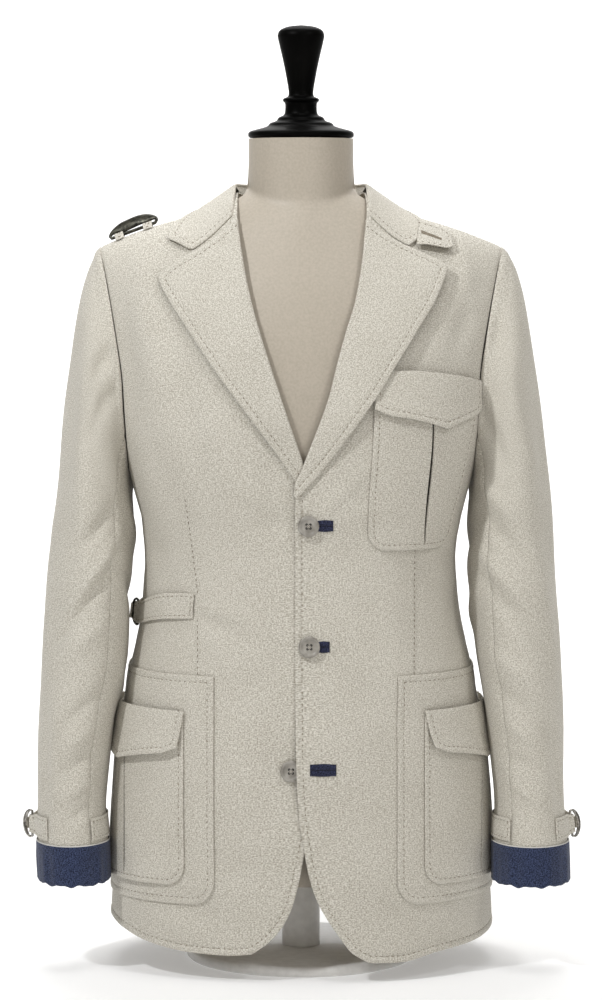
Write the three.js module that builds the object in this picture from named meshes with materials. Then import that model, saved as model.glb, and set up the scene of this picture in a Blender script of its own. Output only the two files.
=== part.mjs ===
// Single-breasted travel jacket with bellows pockets and turned-back cuffs, on a limbless dress form.
// Millimetres, +Z up, the front faces -Y. "Left" and "right" are the viewer's, facing the front.
// Every piece of cloth is a wall whose points are worked out from the jacket's own shape tables.
import * as THREE from 'three';

// Driving sizes
const RAISE = 10; // height of the jacket's own zero level above the floor
const ARMPIT = 470; // height at which the trunk turns into the shoulders
const RIDGE_DEPTH = 8; // the shoulder ridge lies this far behind the centre plane
const GIRTH = 2.4; // squareness of the trunk's round
const ARCH = 2.2; // squareness of the shoulders' arch
const CLOTH = 1.6; // thickness of the body cloth
const COLLAR_CLOTH = 1.5;
const STAND_CLOTH = 1.2;
const PATCH = 1.2; // thickness of pockets, flaps and straps
const LAYER_GAP = 0.8; // clearance between cloth layers that lie on each other
const SEAM_TURN = 0.08; // half of a vertical seam's gap, in degrees round the trunk
const SIDE_SEAM = 96; // turn of the front's side seam, 0 at centre front and 180 at centre back
const BACK_SEAM = 112; // turn of the side panel's back seam
const SHOULDER_SEAM = 89.93; // climb of the panels' shoulder edges, a seam's gap short of the ridge
const HEM_ZONE = 120; // below this height the rows settle down onto the hem line
const BUTTON_RADIUS = 10.4;
const BUTTON_THICK = 3.2;

const COLOURS = {
  cloth: 0xcdc6b8,
  denim: 0x2f3b63,
  horn: 0xa9a092,
  metal: 0x3a3836,
  ivory: 0xe6dfd0,
  lacquer: 0x15130f,
  enamel: 0xf1efe9,
};

const rad = (degrees) => (degrees * Math.PI) / 180;
const deg = (radians) => (radians * 180) / Math.PI;
const mix = (a, b, share) => a + (b - a) * share;
const clamp = (value, low, high) => Math.min(Math.max(value, low), high);

function smoothStep(low, high, value) {
  const share = clamp((value - low) / (high - low), 0, 1);
  return share * share * (3 - 2 * share);
}

// A smooth curve through a table's rows that never overshoots them
function curve(rows, from, to) {
  const at = rows.map((row) => row[from]);
  const value = rows.map((row) => row[to]);
  const step = at.slice(1).map((x, i) => x - at[i]);
  const slope = step.map((h, i) => (value[i + 1] - value[i]) / h);
  const tangent = at.map((_, i) => {
    if (i === 0) return slope[0];
    if (i === at.length - 1) return slope[i - 1];
    if (slope[i - 1] * slope[i] <= 0) return 0;
    const before = 2 * step[i] + step[i - 1];
    const after = step[i] + 2 * step[i - 1];
    return (before + after) / (before / slope[i - 1] + after / slope[i]);
  });
  return (x) => {
    if (x <= at[0]) return value[0];
    if (x >= at[at.length - 1]) return value[at.length - 1];
    let i = 0;
    while (x > at[i + 1]) i += 1;
    const t = (x - at[i]) / step[i];
    const low = (2 * t ** 3 - 3 * t ** 2 + 1) * value[i] + (t ** 3 - 2 * t ** 2 + t) * step[i] * tangent[i];
    const high = (3 * t ** 2 - 2 * t ** 3) * value[i + 1] + (t ** 3 - t ** 2) * step[i] * tangent[i + 1];
    return low + high;
  };
}

function table(columns, rows) {
  return rows.map((row) => Object.fromEntries(columns.map((column, i) => [column, row[i]])));
}

// The trunk: half its width and its depth in front of and behind the centre plane, at each height
const TRUNK = table(['height', 'halfWidth', 'front', 'back'], [
  [14, 191, 143, 138],
  [80, 189, 141, 139],
  [200, 181, 136, 136],
  [290, 168, 129, 122],
  [345, 158.5, 124, 110],
  [400, 154, 122, 103],
  [430, 157, 124, 105],
  [475, 170, 128, 115],
  [530, 184, 131, 122],
  [600, 195, 129, 124],
  [660, 206, 122, 120],
  [720, 218, 112, 112],
]);

// The shoulder ridge: its height at each distance from the middle
const RIDGE = table(['out', 'height'], [
  [0, 786],
  [60, 758.5],
  [72, 750],
  [86, 741.5],
  [102, 734.5],
  [120, 730],
  [139, 724.5],
  [159, 718],
  [179, 710.5],
  [199, 702],
  [215, 692],
]);

// The armhole's two sides: the turn round the trunk at which each runs, at each height
const ARMHOLE = table(['height', 'frontTurn', 'backTurn'], [
  [468, 96, 96],
  [474, 88, 100],
  [488, 80, 105],
  [500, 75, 108],
  [520, 70.5, 112],
  [540, 68, 114],
  [582, 65, 119],
  [634, 65, 120.5],
  [674, 65.6, 119],
  [704, 67, 113],
]);

// The hem line: its height at each turn from the front edge round to the back
const HEM_RIGHT = table(['turn', 'height'], [
  [11, 20], [17, 9.5], [26, 8.5], [41, 15], [61, 19], [79, 23], [96, 27], [120, 30], [150, 30], [180, 28],
]);
const HEM_LEFT = table(['turn', 'height'], [
  [11, 18], [18, 16], [30, 17], [49, 23], [64, 31], [80, 36], [96, 37], [120, 34], [150, 31], [180, 28],
]);

// The right front laps over: its edge, and above the break its roll line, at each height
const RIGHT_EDGE = table(['height', 'x'], [
  [9, 66], [19, 50], [35, 37.5], [55, 24], [72, 15], [90, 9], [110, 4.5], [126, 2], [143, -1], [160, -2.5],
  [208, -4.8], [320, -5.6], [440, -5.6], [469, -4.8], [489, 2.9], [509, 10.6], [558, 28.5], [593, 37.3],
  [622, 45.3], [655, 55], [708, 63], [742, 65], [770, 62],
]);
const LEFT_EDGE = table(['height', 'x'], [
  [9, -66], [17, -50], [32, -29], [47, -17], [63, -9], [86, -2.5], [114, 3], [140, 9], [170, 15], [210, 19],
  [400, 19], [440, 18.6], [485, 3.4], [526, -10.6], [560, -22], [616, -40], [648, -49], [694, -58.3],
  [734, -63], [758, -63.5], [770, -62],
]);

// The lapels: the outer edge opposite each height of the roll line, from the break to the gorge
const LAPEL_RIGHT = table(['share', 'roll', 'x', 'height'], [
  [0, 462, -3.5, 461], [0.1, 489, 18, 485], [0.22, 518, 38, 511], [0.42, 565, 70, 557], [0.6, 612, 90, 590],
  [0.72, 645, 109, 620], [0.85, 683, 127, 649], [0.95, 720, 138.5, 675], [1, 734.5, 142.5, 686],
]);
const LAPEL_LEFT = table(['share', 'roll', 'x', 'height'], [
  [0, 446, 13, 447], [0.12, 485, -4, 475], [0.25, 515, -27, 508], [0.42, 555, -54, 546],
  [0.56, 598, -75, 575], [0.7, 638, -103, 616], [0.85, 683, -125, 649], [0.95, 720, -136, 669],
  [1, 735, -139, 677],
]);

// Lines round the neck for the collar, from the gorge to centre back
// out and climb place the fold and the edge over the shoulder, rise lifts them off it
const COLLAR = table(['share', 'foldOut', 'foldClimb', 'foldRise', 'edgeOut', 'edgeClimb', 'edgeRise'], [
  [0, 68, 71.4, 2.6, 130.5, 66.5, 2.6],
  [0.14, 66, 78.5, 4, 126, 73.5, 2.8],
  [0.28, 64, 86, 6, 117, 82, 3],
  [0.42, 62, 94.5, 9, 105, 93, 3],
  [0.58, 56, 103, 13, 88, 106, 3],
  [0.74, 42, 110, 17.5, 62, 117, 3],
  [0.88, 22, 114, 20, 31, 123.5, 3],
  [1, 0, 115, 21, 0, 125.5, 3],
]);

// Sleeve rings from the armhole down: the outer and inner ends of each ring, its middle and half depth
const SLEEVE_LEFT = table(['ring', 'outX', 'outZ', 'inX', 'inZ', 'midY', 'halfDepth'], [
  [0, 199, 701, 169.6, 468, 3.5, 61],
  [1, 208.5, 685, 168.8, 462, 3, 64],
  [2, 217, 660, 168, 456, 2, 67],
  [3, 223.5, 626, 167.2, 449, 0, 69.5],
  [4, 229.5, 580, 166.4, 440, -3, 71],
  [5, 236, 526, 166, 428, -7, 71.5],
  [6, 242, 464, 166.2, 408, -13, 70],
  [7, 247, 412, 167, 382, -19, 68],
  [8, 251.5, 362, 169, 350, -25, 65.5],
  [9, 256, 302, 171.5, 300, -32, 61.5],
  [10, 259.5, 228, 185.5, 228, -41, 56.5],
  [11, 261, 153, 192.6, 153, -50, 51.5],
  [12, 260, 118, 190.5, 118, -54, 50],
  [13, 258, 81, 189.5, 81, -57, 49],
]);
const SLEEVE_RIGHT = table(['ring', 'outX', 'outZ', 'inX', 'inZ', 'midY', 'halfDepth'], [
  [0, 199, 701, 169.6, 468, 3.5, 61],
  [1, 210.5, 685, 168.8, 462, 3, 64],
  [2, 219, 660, 168, 456, 2, 67],
  [3, 226, 626, 167.2, 449, 0, 69.5],
  [4, 233, 580, 166.4, 440, -3, 71],
  [5, 240.5, 526, 165.6, 428, -7, 71.5],
  [6, 246.5, 464, 165, 408, -13, 70],
  [7, 250.5, 412, 165, 382, -19, 68],
  [8, 253.5, 362, 168, 350, -25, 65.5],
  [9, 257.5, 302, 172.5, 300, -32, 61.5],
  [10, 259, 228, 184.5, 228, -41, 56.5],
  [11, 260.5, 153, 191, 153, -51, 51.5],
  [12, 263, 118, 189.5, 118, -58, 50],
  [13, 264, 81, 189.5, 81, -61, 49],
]);
const SLEEVE_SEAM = 126; // the sleeve's two seams lie this far round from its outer side
const SLEEVE_GAP = 0.8; // clearance between the armhole's edge and the sleeve's head

// The dress form under the cloth: half width and depths, then its neck
const FORM = table(['height', 'halfWidth', 'front', 'back'], [
  [81, 172, 124, 122],
  [200, 168, 124, 122],
  [290, 155, 119, 112],
  [345, 146, 114, 100],
  [400, 143, 111, 93],
  [430, 146, 113, 95],
  [475, 156, 118, 105],
  [530, 164, 122, 113],
  [600, 172, 120, 115],
  [660, 181, 113, 111],
  [706, 196, 103, 103],
  [728, 196, 101, 90],
  [754, 196, 99, 40],
]);
// The form's own outline from its shoulders up the side of its neck
const FORM_REACH = table(['height', 'out'], [
  [699, 196.5], [711.3, 169.6], [724.4, 129.6], [731.6, 102], [738.5, 86], [744.5, 74.5],
  [750.5, 61], [755, 55.5], [762, 53.5], [773, 52.6], [790, 52],
]);
const FORM_DROP = 2.95; // the form's shoulder ridge lies this far below the cloth's ridge
const FORM_BOTTOM = 81;
const NECK_TOP = 809;
const NECK_RADIUS = 52;
const NECK_MIDDLE = 4; // the neck's centre lies this far behind the centre plane
const CAP = table(['radius', 'height'], [
  [0, 0.4], [50, 0.4], [52.5, 2], [52.5, 5.5], [50.5, 7.5], [33, 12], [31, 15.5], [24, 17.5], [22.5, 21],
  [16, 23.5], [15.5, 35], [18, 37], [18, 39.5], [12.5, 41.5], [12, 47], [17, 74], [22.5, 97], [23.4, 102],
  [21.5, 107], [14, 110.5], [0, 112],
]);
const POST_RADIUS = 19;
const FOOT_RADIUS = 115;
const FOOT_THICK = 10;

const halfWidthAt = curve(TRUNK, 'height', 'halfWidth');
const frontAt = curve(TRUNK, 'height', 'front');
const backAt = curve(TRUNK, 'height', 'back');
const ridgeAt = curve(RIDGE, 'out', 'height');
const armholeFront = curve(ARMHOLE, 'height', 'frontTurn');
const armholeBack = curve(ARMHOLE, 'height', 'backTurn');
const hemRight = curve(HEM_RIGHT, 'turn', 'height');
const hemLeft = curve(HEM_LEFT, 'turn', 'height');
const hemAt = (turn) => (turn < 0 ? hemLeft(-turn) : hemRight(turn));

// The trunk's surface

// "climb" is millimetres below the armpit when negative, and above it the degrees of the
// shoulder's arch: 90 on the ridge, and past 90 down the back
function heightAt(x, climb) {
  if (climb <= 0) return ARMPIT + climb;
  const rise = Math.sin(rad(climb)) ** (2 / ARCH);
  return ARMPIT + rise * (ridgeAt(Math.abs(x)) - ARMPIT);
}

const archAt = (climb) => (climb <= 0 ? 1 : Math.abs(Math.cos(rad(climb))) ** (2 / ARCH));

function climbOf(x, height) {
  if (height <= ARMPIT) return height - ARMPIT;
  const rise = clamp((height - ARMPIT) / (ridgeAt(Math.abs(x)) - ARMPIT), 0, 1);
  return deg(Math.asin(rise ** (ARCH / 2)));
}

function turnOf(x, height) {
  const share = clamp(Math.abs(x) / halfWidthAt(height), 0, 1);
  return Math.sign(x) * deg(Math.asin(share ** (GIRTH / 2)));
}

// A point by its turn round the trunk and its climb
function wrapped(turn, climb) {
  const sway = Math.sin(rad(turn));
  const across = Math.sign(sway) * Math.abs(sway) ** (2 / GIRTH);
  const ahead = Math.cos(rad(turn));
  let x = 0;
  let z = ARMPIT;
  for (let pass = 0; pass < 8; pass += 1) {
    z = heightAt(x, climb);
    x = halfWidthAt(z) * across;
  }
  const depth = ahead > 0 ? -frontAt(z) : backAt(z);
  const y = mix(RIDGE_DEPTH, depth * Math.abs(ahead) ** (2 / GIRTH), archAt(climb));
  return new THREE.Vector3(x, y, z);
}

// A point by its distance from the middle and its climb, which may pass over the ridge
function laid(x, climb) {
  const z = heightAt(x, climb);
  const share = clamp(Math.abs(x) / halfWidthAt(z), 0, 0.9999);
  const round = (1 - share ** GIRTH) ** (1 / GIRTH);
  const depth = climb > 90 ? backAt(z) : -frontAt(z);
  const y = mix(RIDGE_DEPTH, depth * round, archAt(climb));
  return new THREE.Vector3(x, y, z);
}

// A surface's point moved out along its normal; both nudges stay inside their limits
function lifted(surface, a, b, lift, limit = Infinity) {
  const nudge = 0.4;
  const high = Math.min(b + nudge, limit);
  const alongA = surface(a + nudge, b).sub(surface(a - nudge, b));
  const alongB = surface(a, high).sub(surface(a, b - nudge));
  const normal = alongA.cross(alongB).normalize();
  return surface(a, b).addScaledVector(normal, lift);
}

const onTrunk = (turn, climb, lift) => lifted(wrapped, turn, climb, lift, 90);
const onShoulder = (x, climb, lift) => lifted(laid, x, climb, lift);
const onFront = (x, height, lift) => onTrunk(turnOf(x, height), climbOf(x, height), lift);

// Closed walls

const solids = [];

function addMesh(name, colour, positions, faces, roughness = 0.9, metalness = 0) {
  const geometry = new THREE.BufferGeometry();
  geometry.setAttribute('position', new THREE.Float32BufferAttribute(positions, 3));
  let volume = 0;
  const corner = (i) => new THREE.Vector3().fromArray(positions, i * 3);
  for (const [a, b, c] of faces) volume += corner(a).dot(corner(b).cross(corner(c)));
  geometry.setIndex(faces.flatMap(([a, b, c]) => (volume > 0 ? [a, b, c] : [a, c, b])));
  geometry.computeVertexNormals();
  const material = new THREE.MeshStandardMaterial({ color: colour, roughness, metalness });
  const mesh = new THREE.Mesh(geometry, material);
  mesh.name = name;
  solids.push(mesh);
  return mesh;
}

// Joins an outer and an inner net of points, and closes the rim; "round" joins first column to last
function wall(name, colour, outer, inner, round = false) {
  const rows = outer.length;
  const columns = outer[0].length;
  const spans = round ? columns : columns - 1;
  const positions = [...outer.flat(), ...inner.flat()].flatMap((point) => point.toArray());
  const top = (r, c) => r * columns + (c % columns);
  const under = (r, c) => rows * columns + top(r, c);
  const faces = [];
  const quad = (a, b, c, d) => faces.push([a, b, c], [a, c, d]);
  for (let r = 0; r < rows - 1; r += 1) {
    for (let c = 0; c < spans; c += 1) {
      quad(top(r, c), top(r, c + 1), top(r + 1, c + 1), top(r + 1, c));
      quad(under(r, c), under(r + 1, c), under(r + 1, c + 1), under(r, c + 1));
    }
  }
  for (let c = 0; c < spans; c += 1) {
    quad(top(0, c), under(0, c), under(0, c + 1), top(0, c + 1));
    quad(top(rows - 1, c), top(rows - 1, c + 1), under(rows - 1, c + 1), under(rows - 1, c));
  }
  for (let r = 0; r < rows - 1 && !round; r += 1) {
    quad(top(r, 0), top(r + 1, 0), under(r + 1, 0), under(r, 0));
    quad(top(r, columns - 1), under(r, columns - 1), under(r + 1, columns - 1), top(r + 1, columns - 1));
  }
  return addMesh(name, colour, positions, faces);
}

// A wall from a function of across, down and lift, between two lifts
function sheet(name, place, across, down, top, bottom, colour = COLOURS.cloth, round = false) {
  const net = (lift) => down.map((v) => across.map((u) => place(u, v, lift)));
  return wall(name, colour, net(top), net(bottom), round);
}

function even(count, from = 0, to = 1) {
  return Array.from({ length: count + 1 }, (_, i) => mix(from, to, i / count));
}

// A closed tube of cloth or wire round a closed line of points
function loop(name, colour, line, section, roughness, metalness) {
  const count = line.length;
  const positions = [];
  line.forEach((point, i) => {
    const ahead = line[(i + 1) % count].clone().sub(line[(i + count - 1) % count]).normalize();
    const { up, wide, tall } = section;
    const side = ahead.clone().cross(up).normalize();
    const rise = side.clone().cross(ahead).normalize();
    for (let k = 0; k < section.sides; k += 1) {
      const angle = (2 * Math.PI * (k + 0.5)) / section.sides;
      const moved = point.clone().addScaledVector(side, wide * Math.cos(angle));
      positions.push(...moved.addScaledVector(rise, tall * Math.sin(angle)).toArray());
    }
  });
  const faces = [];
  for (let i = 0; i < count; i += 1) {
    for (let k = 0; k < section.sides; k += 1) {
      const next = (k + 1) % section.sides;
      const a = i * section.sides;
      const b = ((i + 1) % count) * section.sides;
      faces.push([a + k, a + next, b + next], [a + k, b + next, b + k]);
    }
  }
  return addMesh(name, colour, positions, faces, roughness, metalness);
}

// Fronts, side panels and backs

const ROWS = [
  { share: 0 }, { share: 0.3 }, { share: 0.65 },
  ...[120, 160, 200, 240, 280, 315, 345, 370, 395, 417, 438, 455].map((height) => ({ height })),
  ...[0, 3, 6.5, 11, 17, 25, 35, 45, 55, 65, 74, 82, SHOULDER_SEAM].map((climb) => ({ climb })),
];

// The climb of a row at a turn: hem rows follow the hem line
function rowClimb(row, turn) {
  if (row.climb !== undefined) return row.climb;
  if (row.height !== undefined) return row.height - ARMPIT;
  return mix(hemAt(turn), HEM_ZONE, row.share) - ARMPIT;
}

// The turn at which a row meets an edge that is given by its x at each height
function turnAtEdge(row, edge, start) {
  let turn = start;
  for (let pass = 0; pass < 30; pass += 1) {
    const point = wrapped(turn, rowClimb(row, turn));
    turn = mix(turn, turnOf(edge(point.z), point.z), 0.6);
  }
  return turn;
}

// The turn at which a row ends: its vertical seam, or the armhole above the armpit
function turnAtArmhole(row, armhole, seam) {
  if (row.climb === undefined) return seam;
  let turn = seam;
  for (let pass = 0; pass < 12; pass += 1) turn = armhole(wrapped(turn, row.climb).z);
  return turn;
}

// How far the fronts lie off the trunk's surface near the overlap, the button and the break
function rightFrontLift(x, height) {
  const nearButton = Math.exp(-(((height - 197) / 38) ** 2));
  return 2.2 * nearButton * (1 - smoothStep(4, 46, x));
}
function leftFrontLift(x, height) {
  const lapped = smoothStep(-52, -24, x);
  const nearButton = Math.exp(-(((height - 197) / 38) ** 2));
  const nearBreak = smoothStep(415, 440, height) * (1 - smoothStep(505, 540, height));
  return -lapped * (2.4 + 1.9 * nearButton + 2.3 * nearBreak);
}

function frontPanel(name, side, edgeRows, lift) {
  const edge = curve(edgeRows, 'height', 'x');
  const place = (u, row, off) => {
    const inner = turnAtEdge(row, edge, side * 8);
    const seam = Math.min(turnAtArmhole(row, armholeFront, SIDE_SEAM), SIDE_SEAM - SEAM_TURN);
    const outer = side * seam;
    const turn = mix(inner, outer, u);
    const climb = rowClimb(row, turn);
    const flat = wrapped(turn, climb);
    return onTrunk(turn, climb, off + lift(flat.x, flat.z));
  };
  sheet(name, place, even(13), ROWS, 0, -CLOTH);
}

frontPanel('front_right', 1, RIGHT_EDGE, rightFrontLift);
frontPanel('front_left', -1, LEFT_EDGE, leftFrontLift);

// Each side panel runs from the hem to the low back part of the armhole
function sidePanel(name, side) {
  const topAt = curve(ARMHOLE.slice(0, 5), 'backTurn', 'height');
  const place = (u, v, off) => {
    const turn = mix(SIDE_SEAM + SEAM_TURN, BACK_SEAM - SEAM_TURN, u);
    const bottom = hemAt(side * turn);
    const height = mix(bottom, topAt(turn), v);
    return onTrunk(side * turn, climbOf(halfWidthAt(height), height), off);
  };
  sheet(name, place, even(4), even(16), 0, -CLOTH);
}

sidePanel('side_right', 1);
sidePanel('side_left', -1);

// The backs meet at the centre seam; below the vent's top the right one runs on under the left one
const VENT_TOP = 240;
const VENT_LAP = 9; // degrees of underlap
const LAP_DROP = CLOTH + LAYER_GAP; // how far an underlap lies in
const NECK_POINT = 62; // where the shoulder seam meets the neck, out from the middle
const NECK_BACK = 743; // height of the neck seam at centre back

// The highest climb of a back column: the ridge, or the neck seam inside the neck point
function backTop(x) {
  const out = Math.abs(x);
  if (out >= NECK_POINT) return 90;
  const height = mix(NECK_BACK, ridgeAt(NECK_POINT), (out / NECK_POINT) ** 2.4);
  return Math.min(climbOf(out, height), 90);
}

function backPanel(name, side) {
  const columns = [0, 0.045, 0.1, 0.145, 0.191, 0.3, 0.46, 0.63, 0.81, 1];
  const under = side > 0;
  const place = (u, row, off) => {
    const belowVent = row.climb === undefined && !(row.height >= VENT_TOP);
    const centre = 180 - SEAM_TURN + (under && belowVent ? VENT_LAP : 0);
    const outer = Math.max(turnAtArmhole(row, armholeBack, BACK_SEAM), BACK_SEAM) + SEAM_TURN;
    const turn = mix(centre, outer, u);
    let climb = rowClimb(row, side * turn);
    if (climb > 0) climb *= backTop(wrapped(turn, climb).x) / 90;
    const lapped = under && (belowVent || row.height === VENT_TOP);
    const sunk = lapped ? LAP_DROP * smoothStep(170, 178, turn) : 0;
    return onTrunk(side * turn, climb, off - sunk);
  };
  sheet(name, place, columns, ROWS, 0, -CLOTH);
}

backPanel('back_right', 1);
backPanel('back_left', -1);

// Sleeves

function armholePoint(around) {
  const top = ridgeAt(199);
  const height = mix(468, top, (1 + Math.cos(rad(around))) / 2);
  const turn = (around % 360) <= 180 ? armholeFront(height) : armholeBack(height);
  const flat = halfWidthAt(height) * Math.sin(rad(turn)) ** (2 / GIRTH);
  return wrapped(turn, climbOf(flat, height));
}

// A sleeve as a surface: "around" is 0 on its outer side, 90 in front and 180 beside the trunk
function makeSleeve(side, rings) {
  const at = Object.fromEntries(
    ['outX', 'outZ', 'inX', 'inZ', 'midY', 'halfDepth'].map((key) => [key, curve(rings, 'ring', key)]),
  );
  const oval = (around, ring) => {
    const share = Math.cos(rad(around));
    const sway = Math.sin(rad(around));
    const x = mix(at.inX(ring), at.outX(ring), (1 + share) / 2);
    const z = mix(at.inZ(ring), at.outZ(ring), (1 + share) / 2);
    return new THREE.Vector3(x, at.midY(ring) - at.halfDepth(ring) * sway, z);
  };
  const surface = (around, ring) => {
    const turned = ((around % 360) + 360) % 360;
    const fade = (1 - smoothStep(0, 3.5, ring)) ** 1.5;
    const point = oval(turned, Math.max(ring, 0));
    if (fade > 0) point.addScaledVector(armholePoint(turned).sub(oval(turned, 0)), fade);
    point.x = side * (point.x + SLEEVE_GAP);
    return point;
  };
  const place = (around, ring, lift) => lifted(surface, around, Math.max(ring, 0.02), side * lift);
  const ringAt = curve(rings.slice(8).reverse(), 'outZ', 'ring');
  return { side, place, low: (around, height, lift) => place(around, ringAt(height), lift) };
}

const SLEEVE_ROWS = [0.02, 0.5, 1, 1.6, 2.3, 3, 3.8, 4.6, 5.4, 6.2, 7, 8, 8.7, 9.4, 10.2, 11, 12, 13];

const SEAM_AROUND = 0.25; // half a sleeve seam's gap, in degrees round the sleeve
const TOP_ROUND = even(12, -SLEEVE_SEAM + SEAM_AROUND, SLEEVE_SEAM - SEAM_AROUND);
const UNDER_ROUND = even(6, SLEEVE_SEAM + SEAM_AROUND, 360 - SLEEVE_SEAM - SEAM_AROUND);

function buildSleeve(word, sleeve) {
  sheet(`sleeve_top_${word}`, sleeve.place, TOP_ROUND, SLEEVE_ROWS, 0, -CLOTH);
  sheet(`sleeve_under_${word}`, sleeve.place, UNDER_ROUND, SLEEVE_ROWS, 0, -CLOTH);
}

const leftSleeve = makeSleeve(-1, SLEEVE_LEFT);
const rightSleeve = makeSleeve(1, SLEEVE_RIGHT);
buildSleeve('left', leftSleeve);
buildSleeve('right', rightSleeve);

// Turned-back cuffs: outside the sleeve, round its edge and a little way up inside
const CUFF_TOP = 118;
const CUFF_BEND = 98;
const CUFF_BOTTOM = 78;
const CUFF_INSIDE = 90; // the turned-back cloth reaches up inside to this height
const SLEEVE_END = 81.1;
function buildCuff(word, sleeve) {
  const outsideLift = LAYER_GAP + PATCH;
  const insideLift = -CLOTH - LAYER_GAP;
  const outerPath = [
    [CUFF_TOP, outsideLift], [CUFF_BEND, outsideLift], [CUFF_BOTTOM + 1.2, outsideLift],
    [CUFF_BOTTOM, outsideLift - 1], [CUFF_BOTTOM, insideLift - 0.2],
    [CUFF_BOTTOM + 1.2, insideLift - PATCH], [CUFF_INSIDE, insideLift - PATCH],
  ];
  const innerPath = [
    [CUFF_TOP, LAYER_GAP], [CUFF_BEND, LAYER_GAP], [CUFF_BOTTOM + 2.4, LAYER_GAP],
    [CUFF_BOTTOM + 1.3, LAYER_GAP - 0.4], [CUFF_BOTTOM + 1.3, insideLift + 0.3],
    [CUFF_BOTTOM + 2.4, insideLift], [CUFF_INSIDE, insideLift],
  ];
  const round = [...TOP_ROUND, ...UNDER_ROUND.slice(1, -1)];
  // below the sleeve's own end the cuff's points follow the last ring straight down
  const point = ([height, lift], around) => {
    const moved = sleeve.low(around, Math.max(height, SLEEVE_END), lift);
    moved.z += Math.min(height - SLEEVE_END, 0);
    return moved;
  };
  const net = (path) => path.map((spot) => round.map((around) => point(spot, around)));
  wall(`cuff_${word}`, COLOURS.denim, net(outerPath), net(innerPath), true);
}
buildCuff('left', leftSleeve);
buildCuff('right', rightSleeve);

// Lapels lie on the fronts, lifted a little along their outer edge
function lapelPanel(name, rows, edgeRows, frontLift, edgeLift) {
  const roll = curve(edgeRows, 'height', 'x');
  const rollHeight = curve(rows, 'share', 'roll');
  const edgeX = curve(rows, 'share', 'x');
  const edgeHeight = curve(rows, 'share', 'height');
  const place = (u, v, off) => {
    const startZ = rollHeight(v);
    const start = turnOf(roll(startZ), startZ);
    const end = turnOf(edgeX(v), edgeHeight(v));
    const sag = -4 * Math.sin(Math.PI * u) * v ** 8;
    const height = mix(startZ, edgeHeight(v), u) + sag;
    const turn = mix(start, end, u);
    const x = wrapped(turn, Math.min(height - ARMPIT, 0)).x;
    const ease = Math.sin(Math.PI * u) * 1.6 * smoothStep(0.1, 0.4, v);
    const base = frontLift(x, height) + LAYER_GAP;
    return onTrunk(turn, climbOf(x, height), off + base + ease + edgeLift(v) * u ** 1.5);
  };
  sheet(name, place, even(6), even(15), CLOTH - 0.2, 0);
}

// The right lapel's edge also clears the chest pocket's flap
const rightRise = (v) => mix(0, 5.6, smoothStep(0.1, 0.4, v));
const leftRise = (v) => mix(0, 1.5, smoothStep(0.3, 0.5, v));
lapelPanel('lapel_right', LAPEL_RIGHT, RIGHT_EDGE, rightFrontLift, rightRise);
lapelPanel('lapel_left', LAPEL_LEFT, LEFT_EDGE, leftFrontLift, leftRise);

// Collar: a fall over the shoulders, and a stand inside it from the neck seam to the fold
const collarAt = Object.fromEntries(
  ['foldOut', 'foldClimb', 'foldRise', 'edgeOut', 'edgeClimb', 'edgeRise'].map((key) => [
    key, curve(COLLAR, 'share', key),
  ]),
);

function collarPoint(along, down, lift) {
  const share = 1 - Math.abs(along);
  const side = Math.sign(along) || 1;
  const out = mix(collarAt.foldOut(share), collarAt.edgeOut(share), down);
  const climb = mix(collarAt.foldClimb(share), collarAt.edgeClimb(share), down);
  const belly = 2.5 * Math.sin(Math.PI * down) * smoothStep(0.1, 0.5, share);
  const rise = mix(collarAt.foldRise(share), collarAt.edgeRise(share), down) + belly;
  return onShoulder(side * out, climb, rise + lift);
}
sheet('collar_fall', collarPoint, even(26, -1, 1), even(3), 0, -COLLAR_CLOTH);

// The stand's foot keeps just above the backs' neck seam
const STAND_START = 0.58; // share of the half collar, from centre back, that has a stand
function standPoint(along, down, lift) {
  const share = 1 - Math.abs(along);
  const side = Math.sign(along) || 1;
  const out = collarAt.foldOut(share) - 0.5;
  const seam = 180 - backTop(out) - 0.35;
  const climb = mix(collarAt.foldClimb(share), Math.max(seam, collarAt.foldClimb(share) + 0.5), down);
  const rise = mix(collarAt.foldRise(share) - COLLAR_CLOTH - LAYER_GAP, STAND_CLOTH, down);
  return onShoulder(side * out, climb, rise + lift);
}
sheet('collar_stand', standPoint, even(16, -STAND_START, STAND_START), even(2), 0, -STAND_CLOTH);

// Throat tab at the collar's right end
const TAB_RISE = 3.7;
const TAB = table(['share', 'lowX', 'lowZ', 'highX', 'highZ'], [
  [0, 112, 702, 116, 723.5],
  [0.5, 129, 699, 130, 719.5],
  [0.85, 142, 697, 142, 715],
  [1, 147.5, 699, 147, 710.5],
]);
const tabAt = Object.fromEntries(
  ['lowX', 'lowZ', 'highX', 'highZ'].map((key) => [key, curve(TAB, 'share', key)]),
);
function tabPoint(u, v, lift) {
  const x = mix(tabAt.highX(u), tabAt.lowX(u), v);
  const height = mix(tabAt.highZ(u), tabAt.lowZ(u), v);
  return onShoulder(x, climbOf(x, height), TAB_RISE + lift);
}
sheet('throat_tab', tabPoint, even(4), even(2), PATCH, 0);

// Pockets

// How far a corner of the given radius pulls an edge in, at a height above the corner's foot
function cornerInset(radius, height) {
  const drop = Math.max(radius - height, 0);
  return radius - Math.sqrt(Math.max(radius ** 2 - drop ** 2, 0));
}

// Millimetres along the trunk for each degree of turn
function degreeLength(turn, height) {
  const climb = climbOf(halfWidthAt(height) * Math.sin(rad(turn)) ** (2 / GIRTH), height);
  return wrapped(turn + 0.5, climb).distanceTo(wrapped(turn - 0.5, climb));
}

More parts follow.
